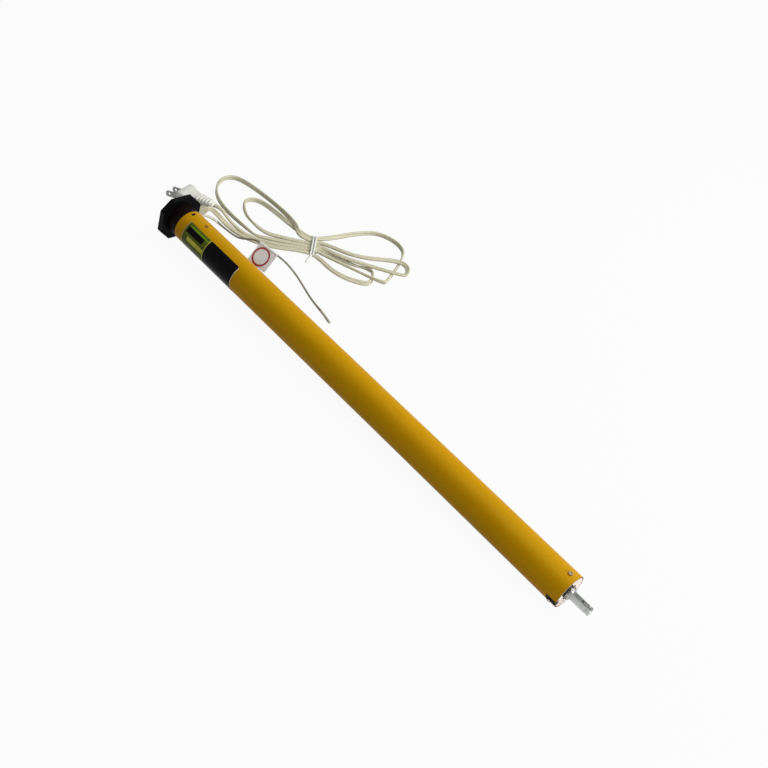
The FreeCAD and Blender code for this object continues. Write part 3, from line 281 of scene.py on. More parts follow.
# Brake, motor and gearbox inside the tube
# Steel laminations with copper windings, ground shafts and bearings, die-cast shields and
# carriers, a friction disc, and gears moulded in natural acetal.
laminations = Finish("stacked laminations", (0.26, 0.26, 0.27), 0.45, metallic=0.9)
sheets = laminations.node("TexWave", wave_type="BANDS", bands_direction="X")
sheets.inputs["Scale"].default_value = 500.0
laminations.link(laminations.place, sheets.inputs["Vector"])
laminations.relief(sheets.outputs["Fac"], 0.0001, 0.5)
laminations.mottle(scale=200.0, detail=4.0, low=0.5, high=0.75, most=0.4, color=(0.16, 0.11, 0.08))
copper = Finish("enamelled copper", (0.45, 0.16, 0.05), 0.3, metallic=0.85, coat=0.4)
strands = copper.node("TexWave", wave_type="RINGS", rings_direction="X")
strands.inputs["Scale"].default_value = 900.0
strands.inputs["Distortion"].default_value = 3.0
copper.link(copper.place, strands.inputs["Vector"])
copper.relief(strands.outputs["Fac"], 0.0002, 0.8)
between_strands = copper.ramp(strands.outputs["Fac"], 0.0, 0.4, first=0.7, last=0.0)
copper.tint(between_strands, (0.12, 0.03, 0.01))
cast_zinc = Finish("die-cast metal", (0.50, 0.50, 0.51), 0.42, metallic=1.0)
cast_zinc.wear(scale=300.0, detail=4.0, glossy=0.34, dull=0.55)
cast_zinc.grain(scale=1300.0, detail=3.0, depth=0.0001, strength=0.35)
ground_steel = Finish("ground steel", (0.56, 0.56, 0.57), 0.18, metallic=1.0)
grinding = ground_steel.stretched((4.0, 0.4, 0.4))
ground_steel.grain(scale=1800.0, detail=2.0, depth=0.0001, strength=0.2, place=grinding)
acetal = Finish("natural acetal", (0.76, 0.75, 0.69), 0.38)
acetal.sink(weight=0.1, radius=(0.002, 0.002, 0.0016))
acetal.mottle(scale=90.0, detail=3.0, low=0.45, high=0.8, most=0.4, color=(0.66, 0.62, 0.50))
lining = Finish("friction lining", (0.10, 0.085, 0.065), 0.85)
lining.mottle(scale=1400.0, detail=5.0, low=0.55, high=0.7, most=0.7, color=(0.28, 0.24, 0.18))
lining.grain(scale=1200.0, detail=5.0, depth=0.0002, strength=0.6)
ferrite = Finish("bonded ferrite", (0.045, 0.045, 0.05), 0.55)
ferrite.mottle(scale=1600.0, detail=4.0, low=0.6, high=0.8, most=0.6, color=(0.12, 0.12, 0.13))
spring_wire = Finish("drawn spring wire", (0.36, 0.36, 0.38), 0.3, metallic=1.0)
spring_wire.grain(scale=3000.0, detail=2.0, depth=0.00005, strength=0.3)
PLANETS = ["%s_planet_%d" % (stage, i) for stage in ("first", "second", "third") for i in (1, 2, 3)]
inside = {
    "core_steel": (laminations, ["stator_core", "rotor_core", "power_transformer"]),
    "copper_wire": (copper, ["stator_windings"]),
    "zinc": (cast_zinc, ["brake_magnet", "brake_plate", "rear_end_shield", "front_end_shield",
                         "first_carrier", "second_carrier", "third_carrier"]),
    "bearing_steel": (ground_steel, ["rear_bearing", "front_bearing", "rotor_shaft", "sun_pinion"]),
    "gear_plastic": (acetal, ["ring_gear", *PLANETS]),
    "brake_lining": (lining, ["brake_disc"]),
    "magnet": (ferrite, ["encoder_magnet"]),
    "spring_steel": (spring_wire, ["brake_spring"]),
}


# Electronics inside the tube
# A moulded tray carries the green circuit board, with its relays, and the run capacitor behind
# it; two small boards hold the button's switch and the turn sensor.
circuit_board = Finish("green solder mask", (0.012, 0.10, 0.035), 0.3, coat=0.5)
tracks = circuit_board.node("TexVoronoi", feature="DISTANCE_TO_EDGE")
tracks.inputs["Scale"].default_value = 260.0
circuit_board.link(circuit_board.stretched((0.4, 1.0, 1.0)), tracks.inputs["Vector"])
on_a_track = circuit_board.ramp(tracks.outputs["Distance"], 0.04, 0.09, first=0.8, last=0.0)
circuit_board.tint(on_a_track, (0.03, 0.22, 0.07))
circuit_board.relief(tracks.outputs["Distance"], 0.0001, 0.3)
tray_plastic = Finish("natural moulding", (0.62, 0.60, 0.54), 0.5)
tray_plastic.grain(scale=1200.0, detail=3.0, depth=0.0001, strength=0.3)
relay_plastic = Finish("blue relay case", (0.012, 0.05, 0.30), 0.3)
relay_plastic.mottle(scale=500.0, detail=3.0, low=0.5, high=0.8, most=0.3, color=(0.03, 0.09, 0.42))
capacitor_case = Finish("matte capacitor case", (0.03, 0.03, 0.034), 0.5)
capacitor_case.grain(scale=1000.0, detail=3.0, depth=0.0001, strength=0.3)
switch_case = Finish("switch case", (0.02, 0.02, 0.02), 0.45)
switch_case.grain(scale=1400.0, detail=3.0, depth=0.0001, strength=0.3)
inside["circuit_board"] = (circuit_board, ["head_board", "control_board", "sensor_board"])
inside["tray_plastic"] = (tray_plastic, ["board_tray"])
inside["relay_plastic"] = (relay_plastic, ["direction_relays"])
inside["capacitor_can"] = (capacitor_case, ["run_capacitor"])
inside["switch_black"] = (switch_case, ["button_switch"])
for slot, (finish, names) in inside.items():
    dress(names, finish)


# Head, crown ring and gland
# Black nylon mouldings with a fine spark-eroded grain: the octagonal head that the wall bracket holds,
# and the crown ring that turns on its neck. A smoother cover with a grey rubber button is screwed
# into the head's face. The seal is black rubber, and the gland round both wires soft ivory rubber.
black_nylon = Finish("black nylon", (0.0025, 0.0025, 0.003), 0.42, specular=0.035)
black_nylon.wear(scale=70.0, detail=4.0, glossy=0.36, dull=0.52)
black_nylon.grain(scale=2200.0, detail=2.0, depth=0.0001, strength=0.4)
black_nylon.mottle(scale=400.0, detail=5.0, low=0.62, high=0.8, most=0.5, color=(0.008, 0.008, 0.009))
dress(["head_body"], black_nylon, ease=0.0004)
satin_nylon = Finish("satin black nylon", (0.014, 0.014, 0.015), 0.34, specular=0.16)
satin_nylon.grain(scale=1600.0, detail=2.0, depth=0.0001, strength=0.3)
dress(["head_cover"], satin_nylon, ease=0.0003)
grey_rubber = Finish("dark grey rubber", (0.055, 0.055, 0.058), 0.5, specular=0.25)
grey_rubber.grain(scale=1400.0, detail=3.0, depth=0.0001, strength=0.3)
dress(["set_button"], grey_rubber, ease=0.0003)
crown_nylon = Finish("brown-black nylon", (0.006, 0.003, 0.0025), 0.4, specular=0.04)
crown_nylon.grain(scale=1800.0, detail=2.0, depth=0.0001, strength=0.4)
crown_nylon.mottle(scale=300.0, detail=4.0, low=0.6, high=0.8, most=0.5, color=(0.014, 0.007, 0.005))
dress(["crown_ring"], crown_nylon, ease=0.0002)
black_rubber = Finish("black rubber", (0.008, 0.008, 0.008), 0.6, specular=0.2)
black_rubber.grain(scale=1500.0, detail=3.0, depth=0.0001, strength=0.3)
dress(["head_seal"], black_rubber, ease=0.0003)
ivory_rubber = Finish("ivory rubber", (0.50, 0.47, 0.32), 0.55, specular=0.3)
ivory_rubber.mottle(scale=300.0, detail=4.0, low=0.5, high=0.8, most=0.5, color=(0.38, 0.35, 0.22))
ivory_rubber.grain(scale=1500.0, detail=3.0, depth=0.0001, strength=0.3)
dress(["cord_gland"], ivory_rubber, ease=0.0007)


# Output end
# A cream moulded cap closes the tube round the bar of the black nylon housing. The steel shaft is
# turned, milled to a flat, cross-drilled and grooved for a clip. It runs in a bronze bush, and a
# bright zinc-plated collar stands at its root.
FLAT_FACES = (0.0, 0.0, 1.0)
FLAT_PAINTED_SHADE_GREY = (0.085, 0.088, 0.085)
cream = Finish("cream moulding", (0.88, 0.75, 0.66), 0.5, specular=0.3)
cream.mottle(scale=500.0, detail=4.0, low=0.45, high=0.8, most=0.5, color=(0.74, 0.60, 0.50))
cream.grain(scale=900.0, detail=3.0, depth=0.0001, strength=0.3)
dress(["end_cap"], cream, ease=0.0003)
dress(["output_housing"], black_nylon, ease=0.0002)
turned_steel = Finish("turned steel", (0.50, 0.51, 0.50), 0.34, metallic=1.0)
turning = turned_steel.stretched((6.0, 0.6, 0.6))
turned_steel.wear(scale=700.0, detail=4.0, glossy=0.24, dull=0.5, place=turning)
turned_steel.mottle(scale=260.0, detail=5.0, low=0.5, high=0.72, most=0.3, color=(0.34, 0.34, 0.335))
turned_steel.grain(scale=1500.0, detail=2.0, depth=0.0001, strength=0.4, place=turning)
# Painted reflection and shade: the flat that faces up is coloured a darker grey than the turned steel.
milled = turned_steel.node("VectorMath", operation="DOT_PRODUCT")
turned_steel.link(turned_steel.node("TexCoord").outputs["Normal"], milled.inputs[0])
milled.inputs[1].default_value = FLAT_FACES
turned_steel.tint(turned_steel.ramp(milled.outputs["Value"], 0.9, 0.96), FLAT_PAINTED_SHADE_GREY)
dress(["output_shaft"], turned_steel, ease=0.0002)
bright_zinc = Finish("bright zinc plate", (0.46, 0.46, 0.45), 0.22, metallic=1.0)
bright_zinc.wear(scale=500.0, detail=4.0, glossy=0.16, dull=0.34)
along_shaft = bright_zinc.stretched((0.15, 1.0, 1.0))
bright_zinc.grain(scale=1200.0, detail=2.0, depth=0.0001, strength=0.25, place=along_shaft)
dress(["shaft_collar"], bright_zinc, ease=0.0003)
bronze = Finish("oiled sintered bronze", (0.13, 0.075, 0.035), 0.4, metallic=1.0)
bronze.mottle(scale=2500.0, detail=3.0, low=0.55, high=0.75, most=0.6, color=(0.06, 0.035, 0.018))
dress(["output_bush"], bronze)


# Screws and the light in the head
# Blackened steel screws hold the cover. Countersunk screws with a yellow passivated coat hold the
# tube at the head, and domed zinc ones at the output end. A milky light guide stands by the button.
dark_steel = Finish("blackened steel", (0.11, 0.105, 0.10), 0.36, metallic=0.9)
dark_steel.mottle(scale=900.0, detail=4.0, low=0.5, high=0.8, most=0.5, color=(0.06, 0.05, 0.045))
dress(["head_cover_screws"], dark_steel, ease=0.0001)
yellow_zinc = Finish("yellow passivated zinc", (0.26, 0.13, 0.03), 0.4, metallic=0.9)
yellow_zinc.mottle(scale=700.0, detail=4.0, low=0.45, high=0.7, most=0.7, color=(0.10, 0.05, 0.015))
dress(["head_fixing_screws"], yellow_zinc, ease=0.0001)
screw_zinc = Finish("clear passivated zinc", (0.36, 0.30, 0.22), 0.24, metallic=1.0)
screw_zinc.mottle(scale=900.0, detail=4.0, low=0.45, high=0.7, most=0.7, color=(0.08, 0.06, 0.04))
dress(["end_screws"], screw_zinc, ease=0.0001)
light_guide = Finish("milky light guide", (0.82, 0.84, 0.83), 0.25)
light_guide.shader.inputs["Transmission Weight"].default_value = 0.35
light_guide.grain(scale=300.0, detail=3.0, depth=0.0001, strength=0.1)
dress(["status_light"], light_guide, ease=0.0002)


# Rating label
# A printed polyester film, glued round the tube's near side. Its ground is olive near the head and
# black beyond a thin line, with a green line, a pale strip and a plain black plate. Its edge is pale.
AXIS_LEAN = 0.010824776824653765
HEAD_FACE = -0.29023299
AXIS_HEIGHT = 0.02359862
LABEL_RADIUS = 0.01758
LABEL_START = 0.0256
LABEL_END = 0.1079
LABEL_TOP = 116.0
LABEL_BOTTOM = 249.0
LABEL_CORNER = 0.0022
LABEL_FILM = 0.00008
LABEL_COLUMNS = 20
LABEL_STEP = 0.00412
LABEL_ROWS = 38
LABEL_TURN = 3.5
START_EDGE = LABEL_START + 0.0006
END_EDGE = LABEL_END - 0.0007
PANEL_EDGE = 0.0605
LINE_HALF = 0.0005
PLATE = (0.0285, 0.0545)
PLATE_ANGLES = (131.0, 152.0)
GREEN_START = 0.030
GREEN_ANGLES = (125.0, 129.5)
STRIP = (0.0335, 0.0595)
STRIP_ANGLES = (162.0, 178.0)


def laid(x, radius, degrees):
    """A point on the motor, from its place along the axis and its angle round it."""
    a = math.radians(degrees)
    y, z = radius * math.cos(a), radius * math.sin(a)
    return Vector((x * math.cos(AXIS_LEAN) + z * math.sin(AXIS_LEAN) + HEAD_FACE, y,
                   -x * math.sin(AXIS_LEAN) + z * math.cos(AXIS_LEAN) + AXIS_HEIGHT))


label_finishes = []
for name, color, rough in (("label black", (0.0015, 0.0015, 0.002), 0.16),
                           ("label olive", (0.085, 0.11, 0.008), 0.2),
                           ("label green line", (0.16, 0.30, 0.01), 0.2),
                           ("label yellow strip", (0.50, 0.48, 0.06), 0.2),
                           ("label edge", (0.50, 0.46, 0.33), 0.3)):
    film = Finish(name, color, rough, specular=0.045)
    lighter = [c * 1.8 + 0.001 for c in color]
    film.mottle(scale=120.0, detail=3.0, low=0.4, high=0.75, most=0.5, color=lighter)
    film.grain(scale=260.0, detail=2.0, depth=0.0002, strength=0.12)
    label_finishes.append(film.material)
BLACK, OLIVE, GREEN, PALE, EDGE = range(5)


def label_panel(x, angle):
    """Which panel of the print covers this place."""
    if x < START_EDGE or x > END_EDGE:
        return EDGE
    if abs(x - PANEL_EDGE) < LINE_HALF:
        return PALE
    if x > PANEL_EDGE:
        return BLACK
    if PLATE[0] < x < PLATE[1] and PLATE_ANGLES[0] < angle < PLATE_ANGLES[1]:
        return BLACK
    if x > GREEN_START and GREEN_ANGLES[0] < angle < GREEN_ANGLES[1]:
        return GREEN
    if STRIP[0] < x < STRIP[1] and STRIP_ANGLES[0] < angle < STRIP_ANGLES[1]:
        return PALE
    return OLIVE


def join_rows(shape, first, second, closed=False):
    """Four-sided faces between two rows of points; closed rows join their last point to their first."""
    faces = []
    for i in range(len(first) if closed else len(first) - 1):
        j = (i + 1) % len(first)
        faces.append(shape.faces.new((first[i], first[j], second[j], second[i])))
    return faces


def made_mesh(name, shape):
    """The mesh of a built shape, with all its faces turned outwards."""
    bmesh.ops.recalc_face_normals(shape, faces=shape.faces)
    mesh = bpy.data.meshes.new(name)
    shape.to_mesh(mesh)
    shape.free()
    return mesh


xs = sorted({LABEL_START, START_EDGE, GREEN_START, *PLATE, *STRIP,
             PANEL_EDGE - LINE_HALF, PANEL_EDGE + LINE_HALF, END_EDGE, LABEL_END,
             *[LABEL_START + LABEL_STEP * i for i in range(1, LABEL_COLUMNS)]})
angles = sorted({LABEL_TOP, *GREEN_ANGLES, *PLATE_ANGLES, *STRIP_ANGLES, LABEL_BOTTOM,
                 *[LABEL_TOP + LABEL_TURN * i for i in range(1, LABEL_ROWS)]})
label = bmesh.new()
grid = []
for x in xs:
    row = []
    for angle in angles:
        inset = 0.0
        from_top = (angle - LABEL_TOP) * math.pi / 180 * LABEL_RADIUS
        if x > LABEL_END - LABEL_CORNER and from_top < LABEL_CORNER:
            inset = LABEL_CORNER - math.sqrt(max(LABEL_CORNER ** 2 - (LABEL_CORNER - from_top) ** 2, 0.0))
        row.append(label.verts.new(laid(min(x, LABEL_END - inset), LABEL_RADIUS, angle)))
    grid.append(row)
for i in range(len(xs) - 1):
    for j, face in enumerate(join_rows(label, grid[i], grid[i + 1])):
        face.material_index = label_panel((xs[i] + xs[i + 1]) / 2, (angles[j] + angles[j + 1]) / 2)
        face.smooth = True
label_mesh = made_mesh("label_film", label)
for material in label_finishes:
    label_mesh.materials.append(material)
label_film = put("label_film", label_mesh)
film_body = label_film.modifiers.new("film", "SOLIDIFY")
film_body.thickness = LABEL_FILM
film_body.offset = 1.0
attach(label_film, "motor")
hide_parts("rating_label")


# Power cord
# A flat two-core cord, 5.6 by 2.8 mm, with a soft ivory sheath. It leaves the head's gland, lies
# in a hank of five loose lobes with a tie round their waist, and ends in its plug. The loops
# stand on edge where they turn, and lie flat elsewhere.
FACE_X = HEAD_FACE * 1000
CORD_STEPS = 10
CORE_RADIUS = 0.0014
CORE_ARC = 128
CORE_POINTS = 13
POWER_EXIT = (-2.55, 35.6, 23.6)


def lying(x, y, z):
    """A place on the table, given in millimetres from the head's face."""
    return Vector(((x + FACE_X) / 1000, y / 1000, z / 1000))


def new_curve(name, steps):
    """An empty curve with closed ends, drawn with this many steps between its points."""
    curve = bpy.data.curves.new(name, "CURVE")
    curve.dimensions = "3D"
    curve.resolution_u = steps
    curve.use_fill_caps = True
    return curve


def smooth_line(curve, places):
    """A smooth line led by these places, in metres."""
    line = curve.splines.new("NURBS")
    line.points.add(len(places) - 1)
    for point, place in zip(line.points, places):
        point.co = (*place, 1.0)
    line.order_u = 3
    line.use_endpoint_u = True
    return line


def spline_cord(name, route, profile_points=None, radius=None):
    """One smooth cord on the route's points: (x, y, height, lean in degrees)."""
    curve = new_curve(name, CORD_STEPS)
    curve.twist_mode = "Z_UP"
    line = smooth_line(curve, [lying(x, y, z) for x, y, z, lean in route])
    for point, (x, y, z, lean) in zip(line.points, route):
        point.tilt = math.radians(lean)
    if profile_points:
        section = bpy.data.curves.new(name + "_section", "CURVE")
        section.dimensions = "2D"
        outline = section.splines.new("POLY")
        outline.points.add(len(profile_points) - 1)
        for point, (x, y) in zip(outline.points, profile_points):
            point.co = (x, y, 0.0, 1.0)
        outline.use_cyclic_u = True
        section_object = bpy.data.objects.new(name + "_section", section)
        curve.bevel_mode = "OBJECT"
        curve.bevel_object = section_object
    else:
        curve.bevel_depth = radius
        curve.bevel_resolution = 5
    return put(name, curve)


def two_core_section():
    """The outline of two cores side by side in one sheath, with a groove between them."""
    points = []
    for side in (1, -1):
        turned = 0 if side > 0 else math.pi
        for i in range(CORE_POINTS):
            a = math.radians(-CORE_ARC + i * 2 * CORE_ARC / (CORE_POINTS - 1)) + turned
            points.append((side * CORE_RADIUS + CORE_RADIUS * math.cos(a), CORE_RADIUS * math.sin(a)))
    return points


LEAD = [(*POWER_EXIT, 90), (-2.5, 42.2, 23.3, 85), (0.8, 48.6, 16.6, 70), (4.0, 53.6, 10.5, 50),
        (10.5, 58.2, 5.0, 20), (23.0, 61.6, 2.3, 0), (38.5, 67.5, 2.2, 0), (51.5, 76.0, 2.2, 0),
        (62.5, 87.0, 2.2, 0)]
HANK = [(80.0, 109.2, 3.2, 0), (92.0, 119.5, 3.0, 0),
        (128.5, 118.2, 2.4, 10), (156.0, 136.5, 2.8, 50), (155.8, 148.0, 2.9, 80), (144.5, 160.8, 2.9, 80),
        (137.0, 160.0, 2.8, 60), (122.0, 146.3, 2.4, 10), (90.0, 133.8, 3.0, 0), (77.4, 122.5, 3.2, 0),
        (55.0, 98.5, 2.6, 0), (38.0, 79.5, 2.6, 20), (27.0, 77.0, 2.8, 60), (-16.5, 75.8, 2.9, 90),
        (-45.0, 84.0, 2.9, 90), (-64.7, 103.6, 2.9, 90), (-66.9, 122.3, 2.9, 90), (-54.2, 132.6, 2.9, 75),
        (-8.0, 138.0, 3.4, 90), (40.0, 133.5, 6.2, 60), (60.0, 121.5, 5.8, 0), (74.3, 135.2, 3.2, 0),
        (82.0, 142.5, 3.6, 0), (120.0, 157.5, 7.0, 0), (146.0, 198.8, 8.2, 20), (160.6, 199.2, 8.8, 30),
        (168.9, 189.2, 8.8, 30), (168.8, 182.4, 8.6, 10), (110.0, 140.5, 6.2, 0), (80.5, 133.5, 3.2, 0),
        (73.5, 126.5, 3.2, 0),
        (52.0, 105.5, 2.7, 0), (37.0, 91.3, 2.7, 0), (10.6, 90.3, 2.8, 50), (-5.2, 95.2, 2.9, 90),
        (-20.6, 106.0, 2.9, 90), (-20.4, 120.5, 2.9, 85), (-4.6, 128.4, 2.8, 55), (61.0, 130.0, 3.0, 0),
        (73.5, 142.3, 3.2, 20),
        (84.0, 209.4, 2.9, 90), (103.5, 225.8, 2.9, 90), (128.5, 226.2, 2.9, 85), (144.3, 205.8, 2.9, 90),
        (164.0, 164.0, 4.5, 90), (167.0, 153.0, 6.5, 60), (97.0, 127.5, 4.0, 0), (88.8, 125.9, 3.2, 0),
        (76.0, 113.1, 3.2, 0)]
TAIL = [(57.0, 90.0, 2.2, 0), (42.0, 75.5, 2.2, 0), (28.0, 69.0, 2.2, 10), (14.0, 66.0, 3.8, 30),
        (4.0, 63.0, 8.5, 30), (-4.9, 58.3, 18.0, 10), (-12.5, 55.5, 16.5, 0)]
power_cord = spline_cord("power_cord", LEAD + HANK + TAIL, two_core_section())
sheath = Finish("ivory sheath", (0.60, 0.57, 0.41), 0.42, specular=0.35)
sheath.sink(weight=0.06, radius=(0.001, 0.001, 0.0007))
sheath.mottle(scale=45.0, detail=3.0, low=0.4, high=0.75, most=0.5, color=(0.46, 0.43, 0.29))
sheath.mottle(scale=220.0, detail=3.0, low=0.58, high=0.8, most=0.35, color=(0.68, 0.66, 0.55))
sheath.grain(scale=260.0, detail=2.0, depth=0.0001, strength=0.1)
power_cord.data.materials.append(sheath.material)
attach(power_cord, "motor")
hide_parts("power_cord_lead", "power_cord_hank", "power_cord_tail")


# Tie
# A wire with a white plastic cover, wound twice round the hank's waist. Its ends are twisted together
# by hand and left lying beside the hank.
WAIST = Vector((78.0, 127.0))
TIE_RADIUS = 0.00105
TIE_STEPS = 6
TIE_TURNS = 2
TIE_START = -1.5
TIE_GAP = 3.0
TIE_SIDE = 17.4
TIE_SHOULDER = TIE_SIDE - 1.2
TIE_INSIDE = 6.0
TIE_LOW = 0.95
TIE_MIDDLE = 3.2
TIE_HIGH = 5.7
TIE_TOP = TIE_HIGH + 0.3
ONE_TURN = [(0.0, -TIE_SIDE, TIE_MIDDLE), (0.2, -TIE_SHOULDER, TIE_HIGH), (0.6, -TIE_INSIDE, TIE_TOP),
            (1.0, TIE_INSIDE, TIE_TOP), (1.4, TIE_SHOULDER, TIE_HIGH), (1.5, TIE_SIDE, TIE_MIDDLE),
            (1.6, TIE_SHOULDER, TIE_LOW), (2.0, TIE_INSIDE, TIE_LOW), (2.4, -TIE_INSIDE, TIE_LOW),
            (2.8, -TIE_SHOULDER, TIE_LOW)]
TWIST_POINTS = 16
TWIST_ALONG = 0.4
TWIST_HEIGHT = 2.6
TWIST_STEP = 0.9
TWIST_DRIFT = 0.35
TWIST_FALL = 0.06
TWIST_RADIUS = 0.7
TWIST_TURN = math.radians(70)


def waist_place(along, across, height):
    """A place at the hank's waist; along runs at 45 degrees."""
    c = math.sqrt(0.5)
    return lying(WAIST.x + (along - across) * c, WAIST.y + (along + across) * c, height)


tie_curve = new_curve("hank_tie", TIE_STEPS)
tie_curve.bevel_depth = TIE_RADIUS
tie_curve.bevel_resolution = 3
smooth_line(tie_curve, [waist_place(TIE_START + TIE_GAP * turn + along, across, height)
                        for turn in range(TIE_TURNS) for along, across, height in ONE_TURN])
for phase in (0.0, math.pi):
    end_wire = []
    for i in range(TWIST_POINTS):
        a = phase + i * TWIST_TURN
        along = TWIST_ALONG - TWIST_DRIFT * i + TWIST_RADIUS * math.cos(a)
        height = TWIST_HEIGHT - TWIST_FALL * i + TWIST_RADIUS * math.sin(a)
        end_wire.append(waist_place(along, -TIE_SIDE - TWIST_STEP * i, height))
    smooth_line(tie_curve, end_wire)
hank_tie = put("hank_tie", tie_curve)
tie_plastic = Finish("white tie plastic", (0.80, 0.80, 0.77), 0.3)
tie_plastic.grain(scale=900.0, detail=3.0, depth=0.0001, strength=0.3)
tie_curve.materials.append(tie_plastic.material)
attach(hank_tie, "motor")
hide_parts("cord_tie")


# Plug
# Ivory plastic, moulded on the cord: a ribbed grip that widens to a flat-fronted block. Its two
# blades are nickel-plated. It lies behind the head with its grip up.
PLUG_EXIT = lying(-12.5, 55.5, 16.5)
PLUG_HEADING = 200.0
PLUG_PITCH = 11.0
PLUG_ROLL = 4.0
PLUG_TURN = (Matrix.Rotation(math.radians(PLUG_HEADING), 4, "Z")
             @ Matrix.Rotation(math.radians(PLUG_PITCH), 4, "Y")
             @ Matrix.Rotation(math.radians(PLUG_ROLL), 4, "X"))
PLUG_PLACE = Matrix.Translation(PLUG_EXIT) @ PLUG_TURN
PLUG_SHARP_FROM = 50.0
CORNER_POINTS = 4
CORNER_STEP = 30
GRIP_LENGTH = 24.0
GRIP_WIDE = 8.6
GRIP_WIDENS = 7.6
GRIP_THICK = 7.4
GRIP_THICKENS = 5.6
RIBS = 5
RIB_START = 3.9
RIB_PITCH = 3.6
RIB_ROWS = ((-0.4, 0.0, 2.6), (0.0, 0.9, 3.0), (0.4, 1.4, 3.2),
            (1.6, 1.5, 3.2), (2.0, 1.0, 3.0), (2.4, 0.3, 2.6))
NOSE = [(0.0, 7.2, 5.4, 2.0), (0.9, 8.8, 7.2, 2.6)]
BLOCK = [(23.0, 16.0, 12.8, 3.0), (25.0, 17.8, 13.4, 3.0, 0.1), (29.0, 22.0, 14.4, 3.0, 0.3),
         (33.0, 26.4, 16.4, 2.8, 0.5), (35.2, 27.6, 17.2, 2.6, 0.7), (40.0, 27.6, 17.2, 2.0, 0.7),
         (40.7, 27.2, 16.8, 1.8, 0.7), (41.0, 26.2, 15.8, 1.4, 0.7)]


def rounded_ring(shape, x, wide, tall, corner, raised=0.0):
    """A ring of points round the plug's section, in millimetres along its own axis."""
    ring = []
    for sy, sz, start in ((1, 1, 0), (-1, 1, 90), (-1, -1, 180), (1, -1, 270)):
        for i in range(CORNER_POINTS):
            a = math.radians(start + CORNER_STEP * i)
            y = sy * (wide / 2 - corner) + corner * math.cos(a)
            z = raised + sz * (tall / 2 - corner) + corner * math.sin(a)
            ring.append(shape.verts.new(PLUG_PLACE @ Vector((x / 1000, y / 1000, z / 1000))))
    return ring


plug = bmesh.new()
sections = list(NOSE)
for i in range(RIBS):
    x = RIB_START + RIB_PITCH * i
    wide = GRIP_WIDE + GRIP_WIDENS * x / GRIP_LENGTH
    thick = GRIP_THICK + GRIP_THICKENS * x / GRIP_LENGTH
    for ahead, proud, corner in RIB_ROWS:
        sections.append((x + ahead, wide + proud, thick + proud, corner))
rings = [rounded_ring(plug, *section) for section in sections + BLOCK]
for first, second in zip(rings, rings[1:]):
    join_rows(plug, first, second, closed=True)
plug.faces.new(rings[0][::-1])
plug.faces.new(rings[-1])
plug_mesh = made_mesh("plug_moulding", plug)
smooth(plug_mesh, PLUG_SHARP_FROM)
plug_moulding = put("plug_moulding", plug_mesh)
ivory = Finish("ivory moulding", (0.76, 0.76, 0.68), 0.3, specular=0.4)
ivory.sink(weight=0.08, radius=(0.002, 0.002, 0.0015))
ivory.mottle(scale=80.0, detail=3.0, low=0.45, high=0.8, most=0.35, color=(0.64, 0.63, 0.54))
ivory.grain(scale=700.0, detail=2.0, depth=0.0001, strength=0.2)
plug_mesh.materials.append(ivory.material)
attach(plug_moulding, "motor")
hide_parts("plug_body")
plated_blade = Finish("nickel-plated blade", (0.22, 0.22, 0.215), 0.3, metallic=1.0)
plated_blade.mottle(scale=300.0, detail=4.0, low=0.5, high=0.75, most=0.6, color=(0.10, 0.10, 0.098))
plated_blade.wear(scale=500.0, detail=4.0, glossy=0.22, dull=0.45)
dress(["plug_blades"], plated_blade, ease=0.0003)


# Antenna wire
# One thin stranded wire in a grey-brown sheath, cut to length: it is the receiver's antenna. A light
# sleeve guards it where it leaves the head, and another closes its end.
ANTENNA_EXIT = (-2.55, 27.2, 17.1)
ANTENNA_RADIUS = 0.00108
HEAD_SLEEVE_POINTS = 4
HEAD_SLEEVE_GROWTH = 1.45
HEAD_SLEEVE_FADE = (0.0490, 0.0484)
END_SLEEVE_POINTS = 2
END_SLEEVE_GROWTH = 1.4
END_SLEEVE_FADE = (lying(167.0, 0, 0).x, lying(168.0, 0, 0).x)
ANTENNA = [(*ANTENNA_EXIT, 0), (-2.3, 32.3, 17.0, 0), (-1.5, 41.1, 13.0, 0), (2.4, 49.2, 7.0, 0),
           (11.5, 54.0, 2.6, 0), (23.5, 56.5, 1.6, 0), (34.0, 57.5, 3.4, 0), (45.5, 59.2, 10.0, 0),
           (57.5, 60.2, 17.0, 0), (91.0, 62.2, 18.8, 0), (102.0, 67.0, 14.5, 0), (115.0, 70.3, 8.0, 0),
           (128.0, 70.3, 3.0, 0), (142.0, 67.0, 1.3, 0), (156.0, 64.0, 1.2, 0), (171.0, 61.7, 1.5, 0),
           (186.0, 58.0, 1.55, 0)]
antenna = spline_cord("antenna_cord", ANTENNA, radius=ANTENNA_RADIUS)
wire_points = antenna.data.splines[0].points
for point in wire_points[:HEAD_SLEEVE_POINTS]:
    point.radius = HEAD_SLEEVE_GROWTH
for point in wire_points[-END_SLEEVE_POINTS:]:
    point.radius = END_SLEEVE_GROWTH
antenna_sheath = Finish("antenna sheath", (0.25, 0.23, 0.175), 0.42, specular=0.35)
antenna_sheath.mottle(scale=150.0, detail=3.0, low=0.5, high=0.8, most=0.5, color=(0.33, 0.31, 0.24))
along_wire = antenna_sheath.node("SeparateXYZ")
antenna_sheath.link(antenna_sheath.place, along_wire.inputs[0])
antenna_sheath.tint(antenna_sheath.ramp(along_wire.outputs["X"], *END_SLEEVE_FADE), (0.46, 0.44, 0.36))
antenna_sheath.tint(antenna_sheath.ramp(along_wire.outputs["Y"], *HEAD_SLEEVE_FADE), (0.66, 0.64, 0.54))
antenna_sheath.grain(scale=900.0, detail=3.0, depth=0.0001, strength=0.2)
antenna.data.materials.append(antenna_sheath.material)
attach(antenna, "motor")
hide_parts("antenna_wire")


